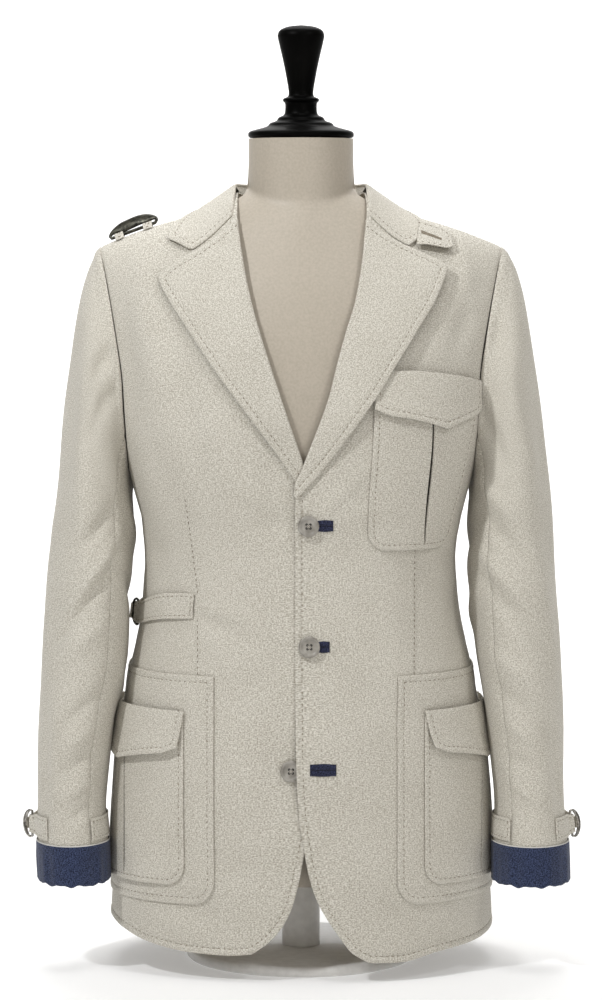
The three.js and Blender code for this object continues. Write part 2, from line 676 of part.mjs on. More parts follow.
// A patch with round lower corners; a pleat down it shows as a narrow channel
function patch(name, side, spec) {
  const heights = spec.shares.map((share) => mix(spec.top, spec.bottom, share));
  const place = (u, height, off) => {
    const inset = cornerInset(spec.radius, height - spec.bottom);
    const first = spec.inner(height) + inset / degreeLength(spec.inner(height), height);
    const last = spec.outer(height) - inset / degreeLength(spec.outer(height), height);
    let turn = mix(first, last, u);
    let channel = 0;
    if (spec.pleat) {
      const centre = spec.pleat.turn(height);
      const width = spec.pleat.width(height) / degreeLength(centre, height);
      const column = spec.pleat.columns.indexOf(u);
      if (column >= 0) {
        turn = centre + [-1, -0.45, 0.45, 1][column] * width;
        channel = column === 1 || column === 2 ? spec.pleat.depth : 0;
      } else {
        const [left, , , right] = spec.pleat.columns;
        turn = u < left
          ? mix(first, centre - width, u / left)
          : mix(centre + width, last, (u - right) / (1 - right));
      }
    }
    const x = halfWidthAt(height) * Math.sin(rad(turn)) ** (2 / GIRTH);
    const bulge = spec.bulge * Math.sin(Math.PI * u);
    return onTrunk(side * turn, climbOf(x, height), spec.lift + bulge + off - channel);
  };
  sheet(name, place, spec.columns, heights, PATCH, 0);
}

// A flap whose lower edge runs down to a blunt point over the pleat
function flap(name, side, spec) {
  const place = (u, v, off) => {
    const peak = 1 - Math.abs((u - spec.peak) / (u < spec.peak ? spec.peak : 1 - spec.peak));
    const corner = 5 * (Math.max(0, 0.09 - u) + Math.max(0, u - 0.91)) / 0.09;
    const low = spec.low(u) - spec.drop * peak ** 1.15 + corner;
    const height = mix(spec.high(u), low, v);
    const turn = mix(spec.inner(height), spec.outer(height), u);
    const x = halfWidthAt(height) * Math.sin(rad(turn)) ** (2 / GIRTH);
    const swell = (spec.bulge + 1.2 * Math.sin(Math.PI * Math.min(v, 0.8))) * Math.sin(Math.PI * u) ** 0.7;
    return onTrunk(side * turn, climbOf(x, height), spec.lift + swell + off);
  };
  sheet(name, place, spec.columns, [0, 0.3, 0.65, 1], PATCH, 0);
}

const PLEAT_COLUMNS = [0.44, 0.48, 0.52, 0.56];
const PLEATED = [0, 0.15, 0.3, ...PLEAT_COLUMNS, 0.7, 0.85, 1];
const LOWER_SHARES = [0, 0.12, 0.27, 0.42, 0.57, 0.72, 0.84, 0.93, 0.98, 1];
const LIFT_OUTER = LAYER_GAP;
const LIFT_INNER = LIFT_OUTER + PATCH + LAYER_GAP;
const LIFT_FLAP = LIFT_INNER + PATCH + LAYER_GAP;

function lowerPocket(word, side, x) {
  const edgeTurn = (distance) => (height) => turnOf(distance, height);
  patch(`pocket_outer_${word}`, side, {
    inner: edgeTurn(x.outerEdge), outer: () => 104, top: 287, bottom: 64, radius: 24,
    shares: LOWER_SHARES, columns: even(11), lift: LIFT_OUTER, bulge: 0,
  });
  patch(`pocket_inner_${word}`, side, {
    inner: edgeTurn(x.innerEdge), outer: () => 97, top: 247, bottom: 82, radius: 20,
    shares: [0, 0.17, 0.36, 0.55, 0.74, 0.87, 0.96, 1], lift: LIFT_INNER,
    columns: PLEATED, bulge: 2.2,
    pleat: {
      turn: edgeTurn(x.pleat), columns: PLEAT_COLUMNS, depth: 1.7,
      width: (height) => mix(2.6, 1.8, smoothStep(110, 200, height)),
    },
  });
  flap(`pocket_flap_${word}`, side, {
    inner: edgeTurn(x.innerEdge - 1.5), outer: () => 99, lift: LIFT_FLAP, bulge: 2.2, drop: 13,
    peak: x.peak, high: () => 252, low: () => 211.5, columns: even(9),
  });
}
lowerPocket('left', -1, { outerEdge: 84.4, innerEdge: 113, pleat: 168, peak: 0.5 });
lowerPocket('right', 1, { outerEdge: 93.2, innerEdge: 119, pleat: 172.5, peak: 0.53 });

patch('pocket_chest', 1, {
  inner: (height) => turnOf(mix(64.5, 70, smoothStep(430, 541, height)), height),
  outer: (height) => armholeFront(Math.max(height, 535)) - 3.4 + 1.6 * (1 - smoothStep(420, 520, height)),
  top: 572, bottom: 409, radius: 19, shares: [0, 0.14, 0.28, 0.42, 0.56, 0.7, 0.82, 0.91, 0.97, 1],
  columns: PLEATED, lift: LIFT_OUTER, bulge: 1.2,
  pleat: {
    turn: (height) => turnOf(mix(117.5, 126, smoothStep(410, 530, height)), height),
    columns: PLEAT_COLUMNS, depth: 1.1, width: (height) => mix(1.6, 2.8, smoothStep(420, 520, height)),
  },
});
flap('pocket_chest_flap', 1, {
  inner: (height) => turnOf(70, height), outer: (height) => armholeFront(height) - 1.5,
  lift: LIFT_INNER, bulge: 1.2, drop: 14, peak: 0.53,
  high: (u) => 582.5 - 11 * (Math.max(u - 0.25, 0) / 0.75) ** 1.3, low: () => 541, columns: even(9),
});

// Waist adjuster on the left: a tab from the front seam, a ring at the side, a strap from the back
const WAIST_TAB = table(['turn', 'high', 'low', 'rise'], [
  [37.5, 366, 341.5, 0],
  [45, 365.6, 340.3, 0.9],
  [53, 364.3, 338.8, 1.5],
  [62, 360.5, 335.8, 1.4],
  [71, 355.5, 332, 0.8],
  [79, 352, 329, 0.5],
  [83.6, 350.6, 327.6, 2],
  [85.7, 347, 329, 5],
  [86.9, 347, 329, 5],
  [87.7, 347, 329, 1.6],
]);
const WAIST_STRAP = table(['turn', 'high', 'low', 'rise'], [
  [88.8, 343, 333, 5],
  [89.5, 343.5, 332.5, 4.7],
  [90.6, 345, 331, 3],
  [92, 347, 329, 1.5],
  [95, 349.5, 326, 0.2],
  [103, 349.5, 325.5, 0],
  [111, 349, 325.5, 0],
  [119.5, 349, 325, 0],
  [128, 349, 325, 0],
]);
const belt = (row, v, lift) => {
  const height = mix(row.high, row.low, v);
  return onTrunk(-row.turn, height - ARMPIT, LAYER_GAP + row.rise + lift);
};
sheet('waist_tab', belt, WAIST_TAB, even(2), PATCH, 0);
sheet('waist_strap', belt, WAIST_STRAP, even(2), PATCH, 0);

// Rings of wire: a straight bar closed by a half oval
function ringLine(centre, bar, bow, halfBar, reach) {
  const spots = [[-0.94, 0], [0, 0], [0.94, 0]];
  for (let i = 0; i <= 10; i += 1) {
    const angle = (Math.PI * i) / 10;
    spots.push([Math.cos(angle), 0.18 + 0.82 * Math.sin(angle)]);
  }
  return spots.map(([along, out]) => (
    centre.clone().addScaledVector(bar, along * halfBar).addScaledVector(bow, out * reach)
  ));
}

// The waist ring stands on edge between the tab's end and the strap's end
const ringAtWaist = onTrunk(-86.3, 338 - ARMPIT, 3.4);
const WIRE = { wide: 1.2, tall: 1.2, sides: 6 };
loop('waist_ring', COLOURS.metal, ringLine(
  ringAtWaist, new THREE.Vector3(0, 0, 1), new THREE.Vector3(-0.5, 0.866, 0), 13, 12,
), { ...WIRE, up: new THREE.Vector3(-0.866, -0.5, 0) }, 0.35, 0.9);

// Cuff straps, ring tabs and rings
const STRAP_MIDDLE = 132.5;
const STRAP_HALF = 11;
const CUFF_TAB = table(['around', 'rise', 'half'], [
  [-4.5, 2.6, 8.4], [0, 6.5, 8.4], [4, 6.5, 8.4], [9, 1.8, 9.6], [15, 0, STRAP_HALF],
]);
const CUFF_STRAP_END = table(['around', 'rise', 'half'], [
  [346, 2.6, 9], [351, 6.2, 6.5], [356, 8.6, 5.5], [358.5, 9.2, 5.5],
]);
function buildCuffStrap(word, sleeve) {
  const band = (row, v, lift) => (
    sleeve.low(row.around, STRAP_MIDDLE + v * row.half, LAYER_GAP + row.rise + lift)
  );
  const flat = (around) => ({ around, rise: 0, half: STRAP_HALF });
  const behind = TOP_ROUND.slice(1, 6).map((around) => around + 360);
  const strap = [...[...UNDER_ROUND, ...behind].map(flat), ...CUFF_STRAP_END];
  const tab = [...CUFF_TAB, ...[...TOP_ROUND.slice(7, 9), 52].map(flat)];
  sheet(`cuff_strap_${word}`, band, strap, [1, -1], PATCH, 0);
  sheet(`cuff_tab_${word}`, band, tab, [1, -1], PATCH, 0);
  const seat = sleeve.low(2, STRAP_MIDDLE, 5.2);
  const bar = sleeve.low(2, STRAP_MIDDLE + 12, 5.2).sub(seat).normalize();
  const bow = new THREE.Vector3(sleeve.side * 0.85, 0.5, 0).normalize();
  const up = new THREE.Vector3(-sleeve.side * 0.5, 0.85, 0).normalize();
  loop(`cuff_ring_${word}`, COLOURS.metal, ringLine(
    seat, bar, bow, 13, 10,
  ), { ...WIRE, up }, 0.35, 0.9);
}
buildCuffStrap('left', leftSleeve);
buildCuffStrap('right', rightSleeve);

// A dark ring on the left shoulder, held by two narrow loops of cloth
const RING_OUTER = -190;
const RING_INNER = -142;
const ringEnds = [RING_OUTER, RING_INNER].map((x) => onShoulder(x, 88, 2.2));
const ringBar = ringEnds[1].clone().sub(ringEnds[0]).normalize();
const ringMiddle = ringEnds[0].clone().add(ringEnds[1]).multiplyScalar(0.5);
ringMiddle.z += 1.2;
const ringBow = new THREE.Vector3(0, 0.62, 0.78);
loop('shoulder_ring', COLOURS.metal, ringLine(ringMiddle, ringBar, ringBow, 24.5, 15.5), {
  wide: 1.6, tall: 1.6, sides: 6, up: new THREE.Vector3(0.1, -0.78, 0.62),
}, 0.35, 0.9);

// Each loop passes over the ring's bar and is sewn down before and behind it
const LOOPS = table(['word', 'x', 'half'], [['outer', -179.5, 4.2], ['inner', -151.5, 4.5]]);
const LOOP_ARC = table(['climb', 'rise'], [
  [83, 0.5], [85.6, 2.3], [87.4, 4.9], [89, 4.9], [90.8, 2.3], [93, 0.3],
]);
for (const { word, x, half } of LOOPS) {
  const strip = (u, spot, lift) => onShoulder(x + half * u, spot.climb, spot.rise + lift);
  sheet(`shoulder_loop_${word}`, strip, [-1, 1], LOOP_ARC, PATCH, 0);
}

// Buttons: two fastened on the right front, the third on the left front under its edge
const BUTTON = table(['radius', 'rise'], [
  [0, 0], [7.5, 0], [9.8, 0.8], [BUTTON_RADIUS, 1.8], [9.6, BUTTON_THICK], [7.4, BUTTON_THICK - 0.2],
  [6.4, 2.2], [0, 2],
]);
function button(name, x, height, lift) {
  const profile = BUTTON.map(({ radius, rise }) => new THREE.Vector2(radius, rise));
  const geometry = new THREE.LatheGeometry(profile, 14);
  const material = new THREE.MeshStandardMaterial({ color: COLOURS.horn, roughness: 0.4 });
  const mesh = new THREE.Mesh(geometry, material);
  const seat = onFront(x, height, lift);
  const normal = onFront(x, height, lift + 1).sub(seat).normalize();
  mesh.quaternion.setFromUnitVectors(new THREE.Vector3(0, 1, 0), normal);
  mesh.position.copy(seat);
  mesh.name = name;
  solids.push(mesh);
}
button('button_top', 7.2, 434, 0.7);
button('button_middle', 8, 316.5, 0.7);
button('button_low', -9.7, 196.5, leftFrontLift(-9.7, 196.5) + 0.8);

// The dress form

const formWidth = curve(FORM, 'height', 'halfWidth');
const formFront = curve(FORM, 'height', 'front');
const formBack = curve(FORM, 'height', 'back');
const formReach = curve(FORM_REACH, 'height', 'out');
const soften = (a, b, round) => (a + b + Math.hypot(a - b, round)) / 2;

// The trunk under the cloth, and the neck that grows out of it
function formPoint(around, height) {
  const sway = Math.sin(rad(around));
  const ahead = Math.cos(rad(around)) > 0;
  const toward = ahead ? -1 : 1;
  const width = formWidth(height);
  const x = Math.min(width, formReach(height)) * Math.sign(sway) * Math.abs(sway) ** (2 / GIRTH);
  const round = (1 - Math.min(Math.abs(x) / width, 1) ** GIRTH) ** (1 / GIRTH);
  const rise = clamp((height - ARMPIT) / (ridgeAt(Math.abs(x)) - FORM_DROP - ARMPIT), 0, 1);
  const arch = (1 - rise ** ARCH) ** (1 / ARCH);
  const depth = (ahead ? formFront : formBack)(height) * round;
  const trunk = mix(toward * RIDGE_DEPTH, depth, arch);
  if (height < 690) return new THREE.Vector3(x, toward * trunk, height);
  const neck = Math.sqrt(Math.max(NECK_RADIUS ** 2 - x ** 2, 0)) + toward * NECK_MIDDLE;
  const whole = soften(trunk, neck, 5 * (1 - smoothStep(775, 800, height)) * arch ** 0.5);
  return new THREE.Vector3(x, toward * whole, height);
}

function dressForm() {
  const trunkHeights = [81, 145, 210, 280, 345, 400, 430, 470, 530, 580, 625, 660, 688];
  const heights = [...trunkHeights, 699, 708, 716, 724, 731, 738, 745, 753, 763, 809];
  const turns = even(24, 0, 360).slice(0, 24);
  const rings = heights.map((height) => turns.map((around) => formPoint(around, height)));
  const count = rings[0].length;
  const positions = rings.flat().flatMap((point) => point.toArray());
  const faces = [];
  for (let r = 0; r < rings.length - 1; r += 1) {
    for (let c = 0; c < count; c += 1) {
      const next = (c + 1) % count;
      faces.push([r * count + c, r * count + next, (r + 1) * count + next]);
      faces.push([r * count + c, (r + 1) * count + next, (r + 1) * count + c]);
    }
  }
  const low = positions.length / 3;
  positions.push(0, 0, FORM_BOTTOM, 0, NECK_MIDDLE, NECK_TOP);
  for (let c = 0; c < count; c += 1) {
    const next = (c + 1) % count;
    faces.push([low, next, c]);
    faces.push([low + 1, (rings.length - 1) * count + c, (rings.length - 1) * count + next]);
  }
  addMesh('form_torso', COLOURS.ivory, positions, faces, 0.6);
}
dressForm();

function turned(name, colour, rows, segments, place, roughness, metalness) {
  const profile = rows.map(([radius, height]) => new THREE.Vector2(radius, height));
  const geometry = new THREE.LatheGeometry(profile, segments);
  geometry.rotateX(Math.PI / 2);
  const material = new THREE.MeshStandardMaterial({ color: colour, roughness, metalness });
  const mesh = new THREE.Mesh(geometry, material);
  mesh.position.copy(place);
  mesh.name = name;
  solids.push(mesh);
}

const capRows = CAP.map(({ radius, height }) => [radius, height]);
turned('form_cap', COLOURS.lacquer, capRows, 16, new THREE.Vector3(0, NECK_MIDDLE, NECK_TOP), 0.15, 0);
const FIT_GAP = 0.3; // clearance at the post's two ends
const footTop = FOOT_THICK - RAISE;
const postLow = footTop + FIT_GAP;
const postTop = FORM_BOTTOM - FIT_GAP;
const postRows = [[0, postLow], [POST_RADIUS, postLow], [POST_RADIUS, postTop], [0, postTop]];
turned('form_post', COLOURS.enamel, postRows, 16, new THREE.Vector3(0, 0, 0), 0.4, 0);
const footRows = [
  [0, -RAISE], [FOOT_RADIUS, -RAISE], [FOOT_RADIUS, footTop - 4], [FOOT_RADIUS - 5, footTop], [0, footTop],
];
turned('form_foot', COLOURS.enamel, footRows, 36, new THREE.Vector3(0, 0, 0), 0.4, 0);

const group = new THREE.Group();
group.position.z = RAISE;
for (const solid of solids) group.add(solid);

export default group;
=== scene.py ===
# %% [markdown]
# # A travel jacket on a limbless dress form
# The jacket is one garment cut from a beige slub cloth, so almost every piece here is a thin
# wall of cloth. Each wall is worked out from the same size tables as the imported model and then
# gets what the model leaves out: soft folds, rolled edges, seams, stitches and the weave.
# "Left" and "right" are the viewer's, facing the front. Lengths are in millimetres until a mesh
# is made, and the jacket's own zero level is 10 mm above the floor.

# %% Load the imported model
import math

import bpy
import numpy as np
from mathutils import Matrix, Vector


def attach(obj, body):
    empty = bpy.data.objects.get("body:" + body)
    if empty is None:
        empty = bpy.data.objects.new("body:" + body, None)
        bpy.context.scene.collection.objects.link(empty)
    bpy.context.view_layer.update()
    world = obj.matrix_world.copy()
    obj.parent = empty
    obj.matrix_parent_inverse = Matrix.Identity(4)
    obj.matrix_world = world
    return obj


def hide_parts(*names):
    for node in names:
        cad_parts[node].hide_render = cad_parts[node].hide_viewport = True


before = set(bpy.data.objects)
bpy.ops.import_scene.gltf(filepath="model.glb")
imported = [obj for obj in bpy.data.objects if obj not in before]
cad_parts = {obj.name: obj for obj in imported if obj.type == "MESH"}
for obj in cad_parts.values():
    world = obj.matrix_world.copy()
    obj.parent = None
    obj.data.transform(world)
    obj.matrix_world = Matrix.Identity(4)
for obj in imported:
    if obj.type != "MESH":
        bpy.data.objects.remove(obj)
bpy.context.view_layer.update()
print("packed nodes:", len(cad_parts))

# %% [markdown]
# The camera comes first. The photograph looks very slightly down on the jacket from far away,
# so a long lens at 3.5 m keeps the sleeves as upright as they are there.

# %% Camera
RAISE = 10
LOOK_DOWN = math.radians(4.5)
CAMERA_DISTANCE = 3.5
AIM = Vector((0, 0, (448 / math.cos(LOOK_DOWN) + RAISE) / 1000))
camera_data = bpy.data.cameras.new("camera")
camera_data.sensor_width = 36
camera_data.lens = 36 * CAMERA_DISTANCE
camera = bpy.data.objects.new("camera", camera_data)
camera.location = AIM + CAMERA_DISTANCE * Vector((0, -math.cos(LOOK_DOWN), math.sin(LOOK_DOWN)))
camera.rotation_euler = (math.pi / 2 - LOOK_DOWN, 0, 0)
bpy.context.scene.collection.objects.link(camera)
bpy.context.scene.camera = camera
print("camera at", tuple(round(c, 3) for c in camera.location))

# %% [markdown]
# Size tables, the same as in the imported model's source. A table is a few measured rows with
# named columns, and `curve` runs a smooth line through two of its columns without overshooting.

# %% Tables and curves
def table(columns, rows):
    return {name: np.array([row[i] for row in rows], float) for i, name in enumerate(columns.split())}


def curve(rows, start, end):
    """A smooth function through a table's rows that never overshoots them"""
    at, value = rows[start], rows[end]
    if at[0] > at[-1]:
        at, value = at[::-1], value[::-1]
    step = np.diff(at)
    slope = np.diff(value) / step
    tangent = np.zeros(len(at))
    tangent[0], tangent[-1] = slope[0], slope[-1]
    for i in range(1, len(at) - 1):
        if slope[i - 1] * slope[i] > 0:
            before, after = 2 * step[i] + step[i - 1], step[i] + 2 * step[i - 1]
            tangent[i] = (before + after) / (before / slope[i - 1] + after / slope[i])

    def value_at(x):
        x = np.clip(np.asarray(x, float), at[0], at[-1])
        i = np.clip(np.searchsorted(at, x, side="right") - 1, 0, len(step) - 1)
        t = (x - at[i]) / step[i]
        low = (2 * t**3 - 3 * t**2 + 1) * value[i] + (t**3 - 2 * t**2 + t) * step[i] * tangent[i]
        high = (3 * t**2 - 2 * t**3) * value[i + 1] + (t**3 - t**2) * step[i] * tangent[i + 1]
        return low + high

    return value_at


def mix(a, b, share):
    return a + (b - a) * share


def smooth_step(low, high, value):
    share = np.clip((value - low) / (high - low), 0, 1)
    return share * share * (3 - 2 * share)


ARMPIT = 470
RIDGE_DEPTH = 8
GIRTH = 2.4
ARCH = 2.2
CLOTH = 1.6
COLLAR_CLOTH = 1.5
STAND_CLOTH = 1.2
PATCH = 1.2
LAYER_GAP = 0.8
SIDE_SEAM = 96
BACK_SEAM = 112
SEAM_TURN = 0.08
SHOULDER_SEAM = 89.93
HEM_ZONE = 120

TRUNK = table("height half_width front back", [
    (14, 191, 143, 138), (80, 189, 141, 139), (200, 181, 136, 136), (290, 168, 129, 122),
    (345, 158.5, 124, 110), (400, 154, 122, 103), (430, 157, 124, 105), (475, 170, 128, 115),
    (530, 184, 131, 122), (600, 195, 129, 124), (660, 206, 122, 120), (720, 218, 112, 112),
])
RIDGE = table("out height", [
    (0, 786), (60, 758.5), (72, 750), (86, 741.5), (102, 734.5), (120, 730), (139, 724.5),
    (159, 718), (179, 710.5), (199, 702), (215, 692),
])
ARMHOLE = table("height front back", [
    (468, 96, 96), (474, 88, 100), (488, 80, 105), (500, 75, 108), (520, 70.5, 112),
    (540, 68, 114), (582, 65, 119), (634, 65, 120.5), (674, 65.6, 119), (704, 67, 113),
])
HEM_RIGHT = table("turn height", [
    (11, 20), (17, 9.5), (26, 8.5), (41, 15), (61, 19), (79, 23), (96, 27), (120, 30), (150, 30),
    (180, 28),
])
HEM_LEFT = table("turn height", [
    (11, 18), (18, 16), (30, 17), (49, 23), (64, 31), (80, 36), (96, 37), (120, 34), (150, 31),
    (180, 28),
])
RIGHT_EDGE = table("height x", [
    (9, 66), (19, 50), (35, 37.5), (55, 24), (72, 15), (90, 9), (110, 4.5), (126, 2), (143, -1),
    (160, -2.5), (208, -4.8), (320, -5.6), (440, -5.6), (469, -4.8), (489, 2.9), (509, 10.6),
    (558, 28.5), (593, 37.3), (622, 45.3), (655, 55), (708, 63), (742, 65), (770, 62),
])
LEFT_EDGE = table("height x", [
    (9, -66), (17, -50), (32, -29), (47, -17), (63, -9), (86, -2.5), (114, 3), (140, 9), (170, 15),
    (210, 19), (400, 19), (440, 18.6), (485, 3.4), (526, -10.6), (560, -22), (616, -40),
    (648, -49), (694, -58.3), (734, -63), (758, -63.5), (770, -62),
])

half_width_at = curve(TRUNK, "height", "half_width")
front_at = curve(TRUNK, "height", "front")
back_at = curve(TRUNK, "height", "back")
ridge_at = curve(RIDGE, "out", "height")
armhole_front = curve(ARMHOLE, "height", "front")
armhole_back = curve(ARMHOLE, "height", "back")
hem_right = curve(HEM_RIGHT, "turn", "height")
hem_left = curve(HEM_LEFT, "turn", "height")
print("widest half width:", TRUNK["half_width"].max())

# %% [markdown]
# The body of the jacket is one smooth surface. A point on it has a turn round the body, in
# degrees from centre front, and a climb: millimetres below the armpit while negative, then
# degrees of the shoulder's arch, with 90 on the shoulder ridge.

# %% The surface of the trunk
def hem_at(turn):
    return np.where(turn < 0, hem_left(-turn), hem_right(turn))


def height_at(x, climb):
    rise = np.sin(np.radians(np.clip(climb, 0, 180))) ** (2 / ARCH)
    return np.where(climb <= 0, ARMPIT + climb, ARMPIT + rise * (ridge_at(np.abs(x)) - ARMPIT))


def arch_at(climb):
    return np.where(climb <= 0, 1, np.abs(np.cos(np.radians(climb))) ** (2 / ARCH))


def climb_of(x, height):
    rise = np.clip((height - ARMPIT) / (ridge_at(np.abs(x)) - ARMPIT), 0, 1)
    return np.where(height <= ARMPIT, height - ARMPIT, np.degrees(np.arcsin(rise ** (ARCH / 2))))


def turn_of(x, height):
    share = np.clip(np.abs(x) / half_width_at(height), 0, 1)
    return np.sign(x) * np.degrees(np.arcsin(share ** (GIRTH / 2)))


def across_at(turn):
    sway = np.sin(np.radians(turn))
    return np.sign(sway) * np.abs(sway) ** (2 / GIRTH)


def wrapped(turn, climb):
    turn, climb = np.broadcast_arrays(np.asarray(turn, float), np.asarray(climb, float))
    across, ahead = across_at(turn), np.cos(np.radians(turn))
    x = np.zeros(turn.shape)
    for _ in range(8):
        z = height_at(x, climb)
        x = half_width_at(z) * across
    depth = np.where(ahead > 0, -front_at(z), back_at(z)) * np.abs(ahead) ** (2 / GIRTH)
    return np.stack([x, mix(RIDGE_DEPTH, depth, arch_at(climb)), z], -1)


def laid(x, climb):
    """The same surface by distance from the middle, and it may pass over the shoulder ridge"""
    x, climb = np.broadcast_arrays(np.asarray(x, float), np.asarray(climb, float))
    z = height_at(x, climb)
    share = np.clip(np.abs(x) / half_width_at(z), 0, 0.9999)
    depth = np.where(climb > 90, back_at(z), -front_at(z)) * (1 - share**GIRTH) ** (1 / GIRTH)
    return np.stack([x, mix(RIDGE_DEPTH, depth, arch_at(climb)), z], -1)


def unit(vectors):
    return vectors / np.maximum(np.linalg.norm(vectors, axis=-1, keepdims=True), 1e-9)


def normal_of(surface, a, b, limit=np.inf):
    """The outward direction of a surface at each point, by small nudges"""
    nudge = 0.4
    along_a = surface(a + nudge, b) - surface(a - nudge, b)
    along_b = surface(a, np.minimum(b + nudge, limit)) - surface(a, b - nudge)
    return unit(np.cross(along_a, along_b))


# %% [markdown]
# Folds are placed where the photograph shows them: each is a soft ridge or trough along
# a short line, with a width and a height. The same relief moves everything that lies on the
# body, so a pocket follows the fold of the front beneath it.

# %% Folds of the body
FRONT_FOLDS = table("x0 z0 x1 z1 width height", [
    (14, 440, 62, 486, 8, 1.5), (20, 436, 88, 452, 9, 1.1), (-14, 444, -72, 478, 10, 1.2),
    (-14, 432, -80, 424, 13, -0.9), (-10, 326, -70, 352, 13, 1.0), (22, 322, 84, 340, 12, 0.9),
    (26, 300, 92, 232, 13, -1.9), (12, 292, 60, 214, 12, 1.6), (62, 300, 118, 252, 11, 1.2),
    (-22, 300, -70, 250, 12, -1.3), (-154, 668, -140, 540, 16, 2.2), (-122, 620, -98, 486, 15, -1.6),
    (-172, 640, -166, 560, 9, -2.0), (-82, 520, -60, 440, 16, 1.3), (168, 650, 150, 600, 11, -2.0),
    (100, 700, 140, 690, 10, -0.8), (156, 708, 168, 650, 9, 1.6), (-150, 700, -164, 664, 10, 1.5),
    (-100, 352, -58, 344, 6, 1.1), (-100, 344, -52, 322, 7, -1.1), (-98, 334, -64, 296, 8, 0.9),
    (-84, 108, -44, 92, 17, -2.2), (-120, 66, -76, 52, 15, -2.0), (-30, 120, -24, 40, 13, 1.5),
    (-150, 50, -110, 40, 13, 1.6), (70, 64, 108, 44, 14, -2.2), (34, 130, 44, 60, 13, 1.6),
    (124, 52, 160, 42, 12, 1.7), (146, 392, 158, 330, 10, -1.6), (128, 400, 150, 372, 9, 1.2),
    (-146, 420, -134, 380, 9, -1.6), (-152, 500, -138, 450, 11, 1.8), (160, 470, 150, 410, 10, 1.6),
    (84, 398, 96, 300, 14, 1.2), (44, 250, 40, 150, 22, 0.9), (-48, 240, -52, 140, 20, 1.0),
    (-161, 440, -156, 380, 17, 2.3), (-173, 306, -174, 256, 15, 1.5), (173, 310, 174, 260, 15, 1.7),
])
BACK_FOLDS = table("x0 z0 x1 z1 width height", [
    (20, 700, 96, 560, 22, 2.2), (-24, 690, -104, 580, 20, 2.4), (60, 520, 40, 400, 18, -1.8),
    (-66, 510, -38, 410, 16, -2.0), (110, 470, 60, 372, 13, 1.9), (-120, 480, -74, 380, 12, 2.1),
    (130, 400, 84, 350, 10, -1.7), (-136, 404, -80, 356, 11, -1.8), (12, 420, 18, 320, 9, 1.1),
    (-15, 440, -20, 330, 10, 1.3), (70, 340, 96, 180, 20, 1.7), (-60, 330, -92, 150, 22, 1.8),
    (120, 260, 140, 90, 16, -1.9), (-126, 240, -136, 80, 18, -1.7), (34, 210, 44, 50, 15, -1.8),
    (-38, 200, -50, 60, 16, -1.5), (150, 640, 128, 520, 12, -2.2), (-154, 630, -130, 530, 12, -2.0),
    (0, 742, 60, 726, 10, -1.0), (-10, 730, -70, 716, 10, -1.1), (-161, 440, -156, 380, 17, 2.3),
    (-173, 306, -174, 256, 15, 1.5), (173, 310, 174, 260, 15, 1.7),
])


FOLD_DEPTH = 1.5


def along_lines(folds, a, b):
    """Adds up soft ridges along straight lines in two coordinates"""
    total = np.zeros(np.broadcast(a, b).shape)
    for a0, b0, a1, b1, width, height in zip(*folds.values()):
        run_a, run_b = a1 - a0, b1 - b0
        length = math.hypot(run_a, run_b)
        share = ((a - a0) * run_a + (b - b0) * run_b) / length**2
        off = np.abs((a - a0) * run_b - (b - b0) * run_a) / length
        past = np.maximum(np.maximum(-share, share - 1), 0) * length
        fade = 0.35 + 0.65 * np.sin(np.pi * np.clip(share, 0.08, 0.92))
        total += FOLD_DEPTH * height * fade * np.exp(-((off / width) ** 2) - (past / (1.6 * width)) ** 2)
    return total


def unevenness(s, z, phase=0.0):
    """A slight waviness that no cloth on a form is free of"""
    wave = 0.34 * np.sin(s / 23 + z / 41 + phase) + 0.3 * np.sin(s / 37 - z / 29 + 1.7 + phase)
    return wave + 0.2 * np.sin(s / 13 + z / 17 + 2.9 * phase)


def trunk_relief(turn, climb, point):
    x, z = point[..., 0], point[..., 2]
    ahead = np.cos(np.radians(turn))
    share = smooth_step(-0.12, 0.12, ahead)
    folds = mix(along_lines(BACK_FOLDS, x, z), along_lines(FRONT_FOLDS, x, z), share)
    girth = turn * 2.8
    swing = np.sin(turn / 13 + 0.7) * 1.6 * (1 - smooth_step(20, 190, z))
    calm = 1 - smooth_step(74, 88, climb)
    return (folds + unevenness(girth, z) + swing) * calm


def on_trunk(turn, climb, lift):
    point = wrapped(turn, climb)
    lift = lift + trunk_relief(turn, climb, point)
    return point + normal_of(wrapped, turn, climb, 90) * lift[..., None]


def on_shoulder(x, climb, lift):
    x, climb = np.broadcast_arrays(np.asarray(x, float), np.asarray(climb, float))
    return laid(x, climb) + normal_of(laid, x, climb) * np.asarray(lift)[..., None]


print("folds in front and behind:", len(FRONT_FOLDS["x0"]), len(BACK_FOLDS["x0"]))

# %% [markdown]
# A piece of cloth is a net of points for its face, a second net for its back and a rim between
# them. The helpers below space the rows evenly in millimetres, closer along an edge, where
# the cloth is rounded and a row of stitches draws it in.

# %% Nets and walls
EDGE_MARKS = np.array([0, 0.25, 0.8, 1.8, 3.2, 4.6, 5.6, 6.5, 7.4, 8.6])


def steps(path, start, stop, spacing, fine=""):
    """Parameters evenly spaced along a path; fine names the ends, low or high, with extra rows"""
    t = np.linspace(start, stop, 600)
    lengths = np.linalg.norm(np.diff(path(t), axis=0), axis=1)
    run = np.concatenate([[0], np.cumsum(lengths)])
    total = run[-1]
    low = EDGE_MARKS[-1] if "low" in fine else 0
    high = total - EDGE_MARKS[-1] if "high" in fine else total
    marks = np.linspace(low, high, max(int(round((high - low) / spacing)), 2) + 1)
    if "low" in fine:
        marks = np.concatenate([EDGE_MARKS[:-1], marks])
    if "high" in fine:
        marks = np.concatenate([marks, total - EDGE_MARKS[:-1][::-1]])
    return np.interp(marks, run, t)


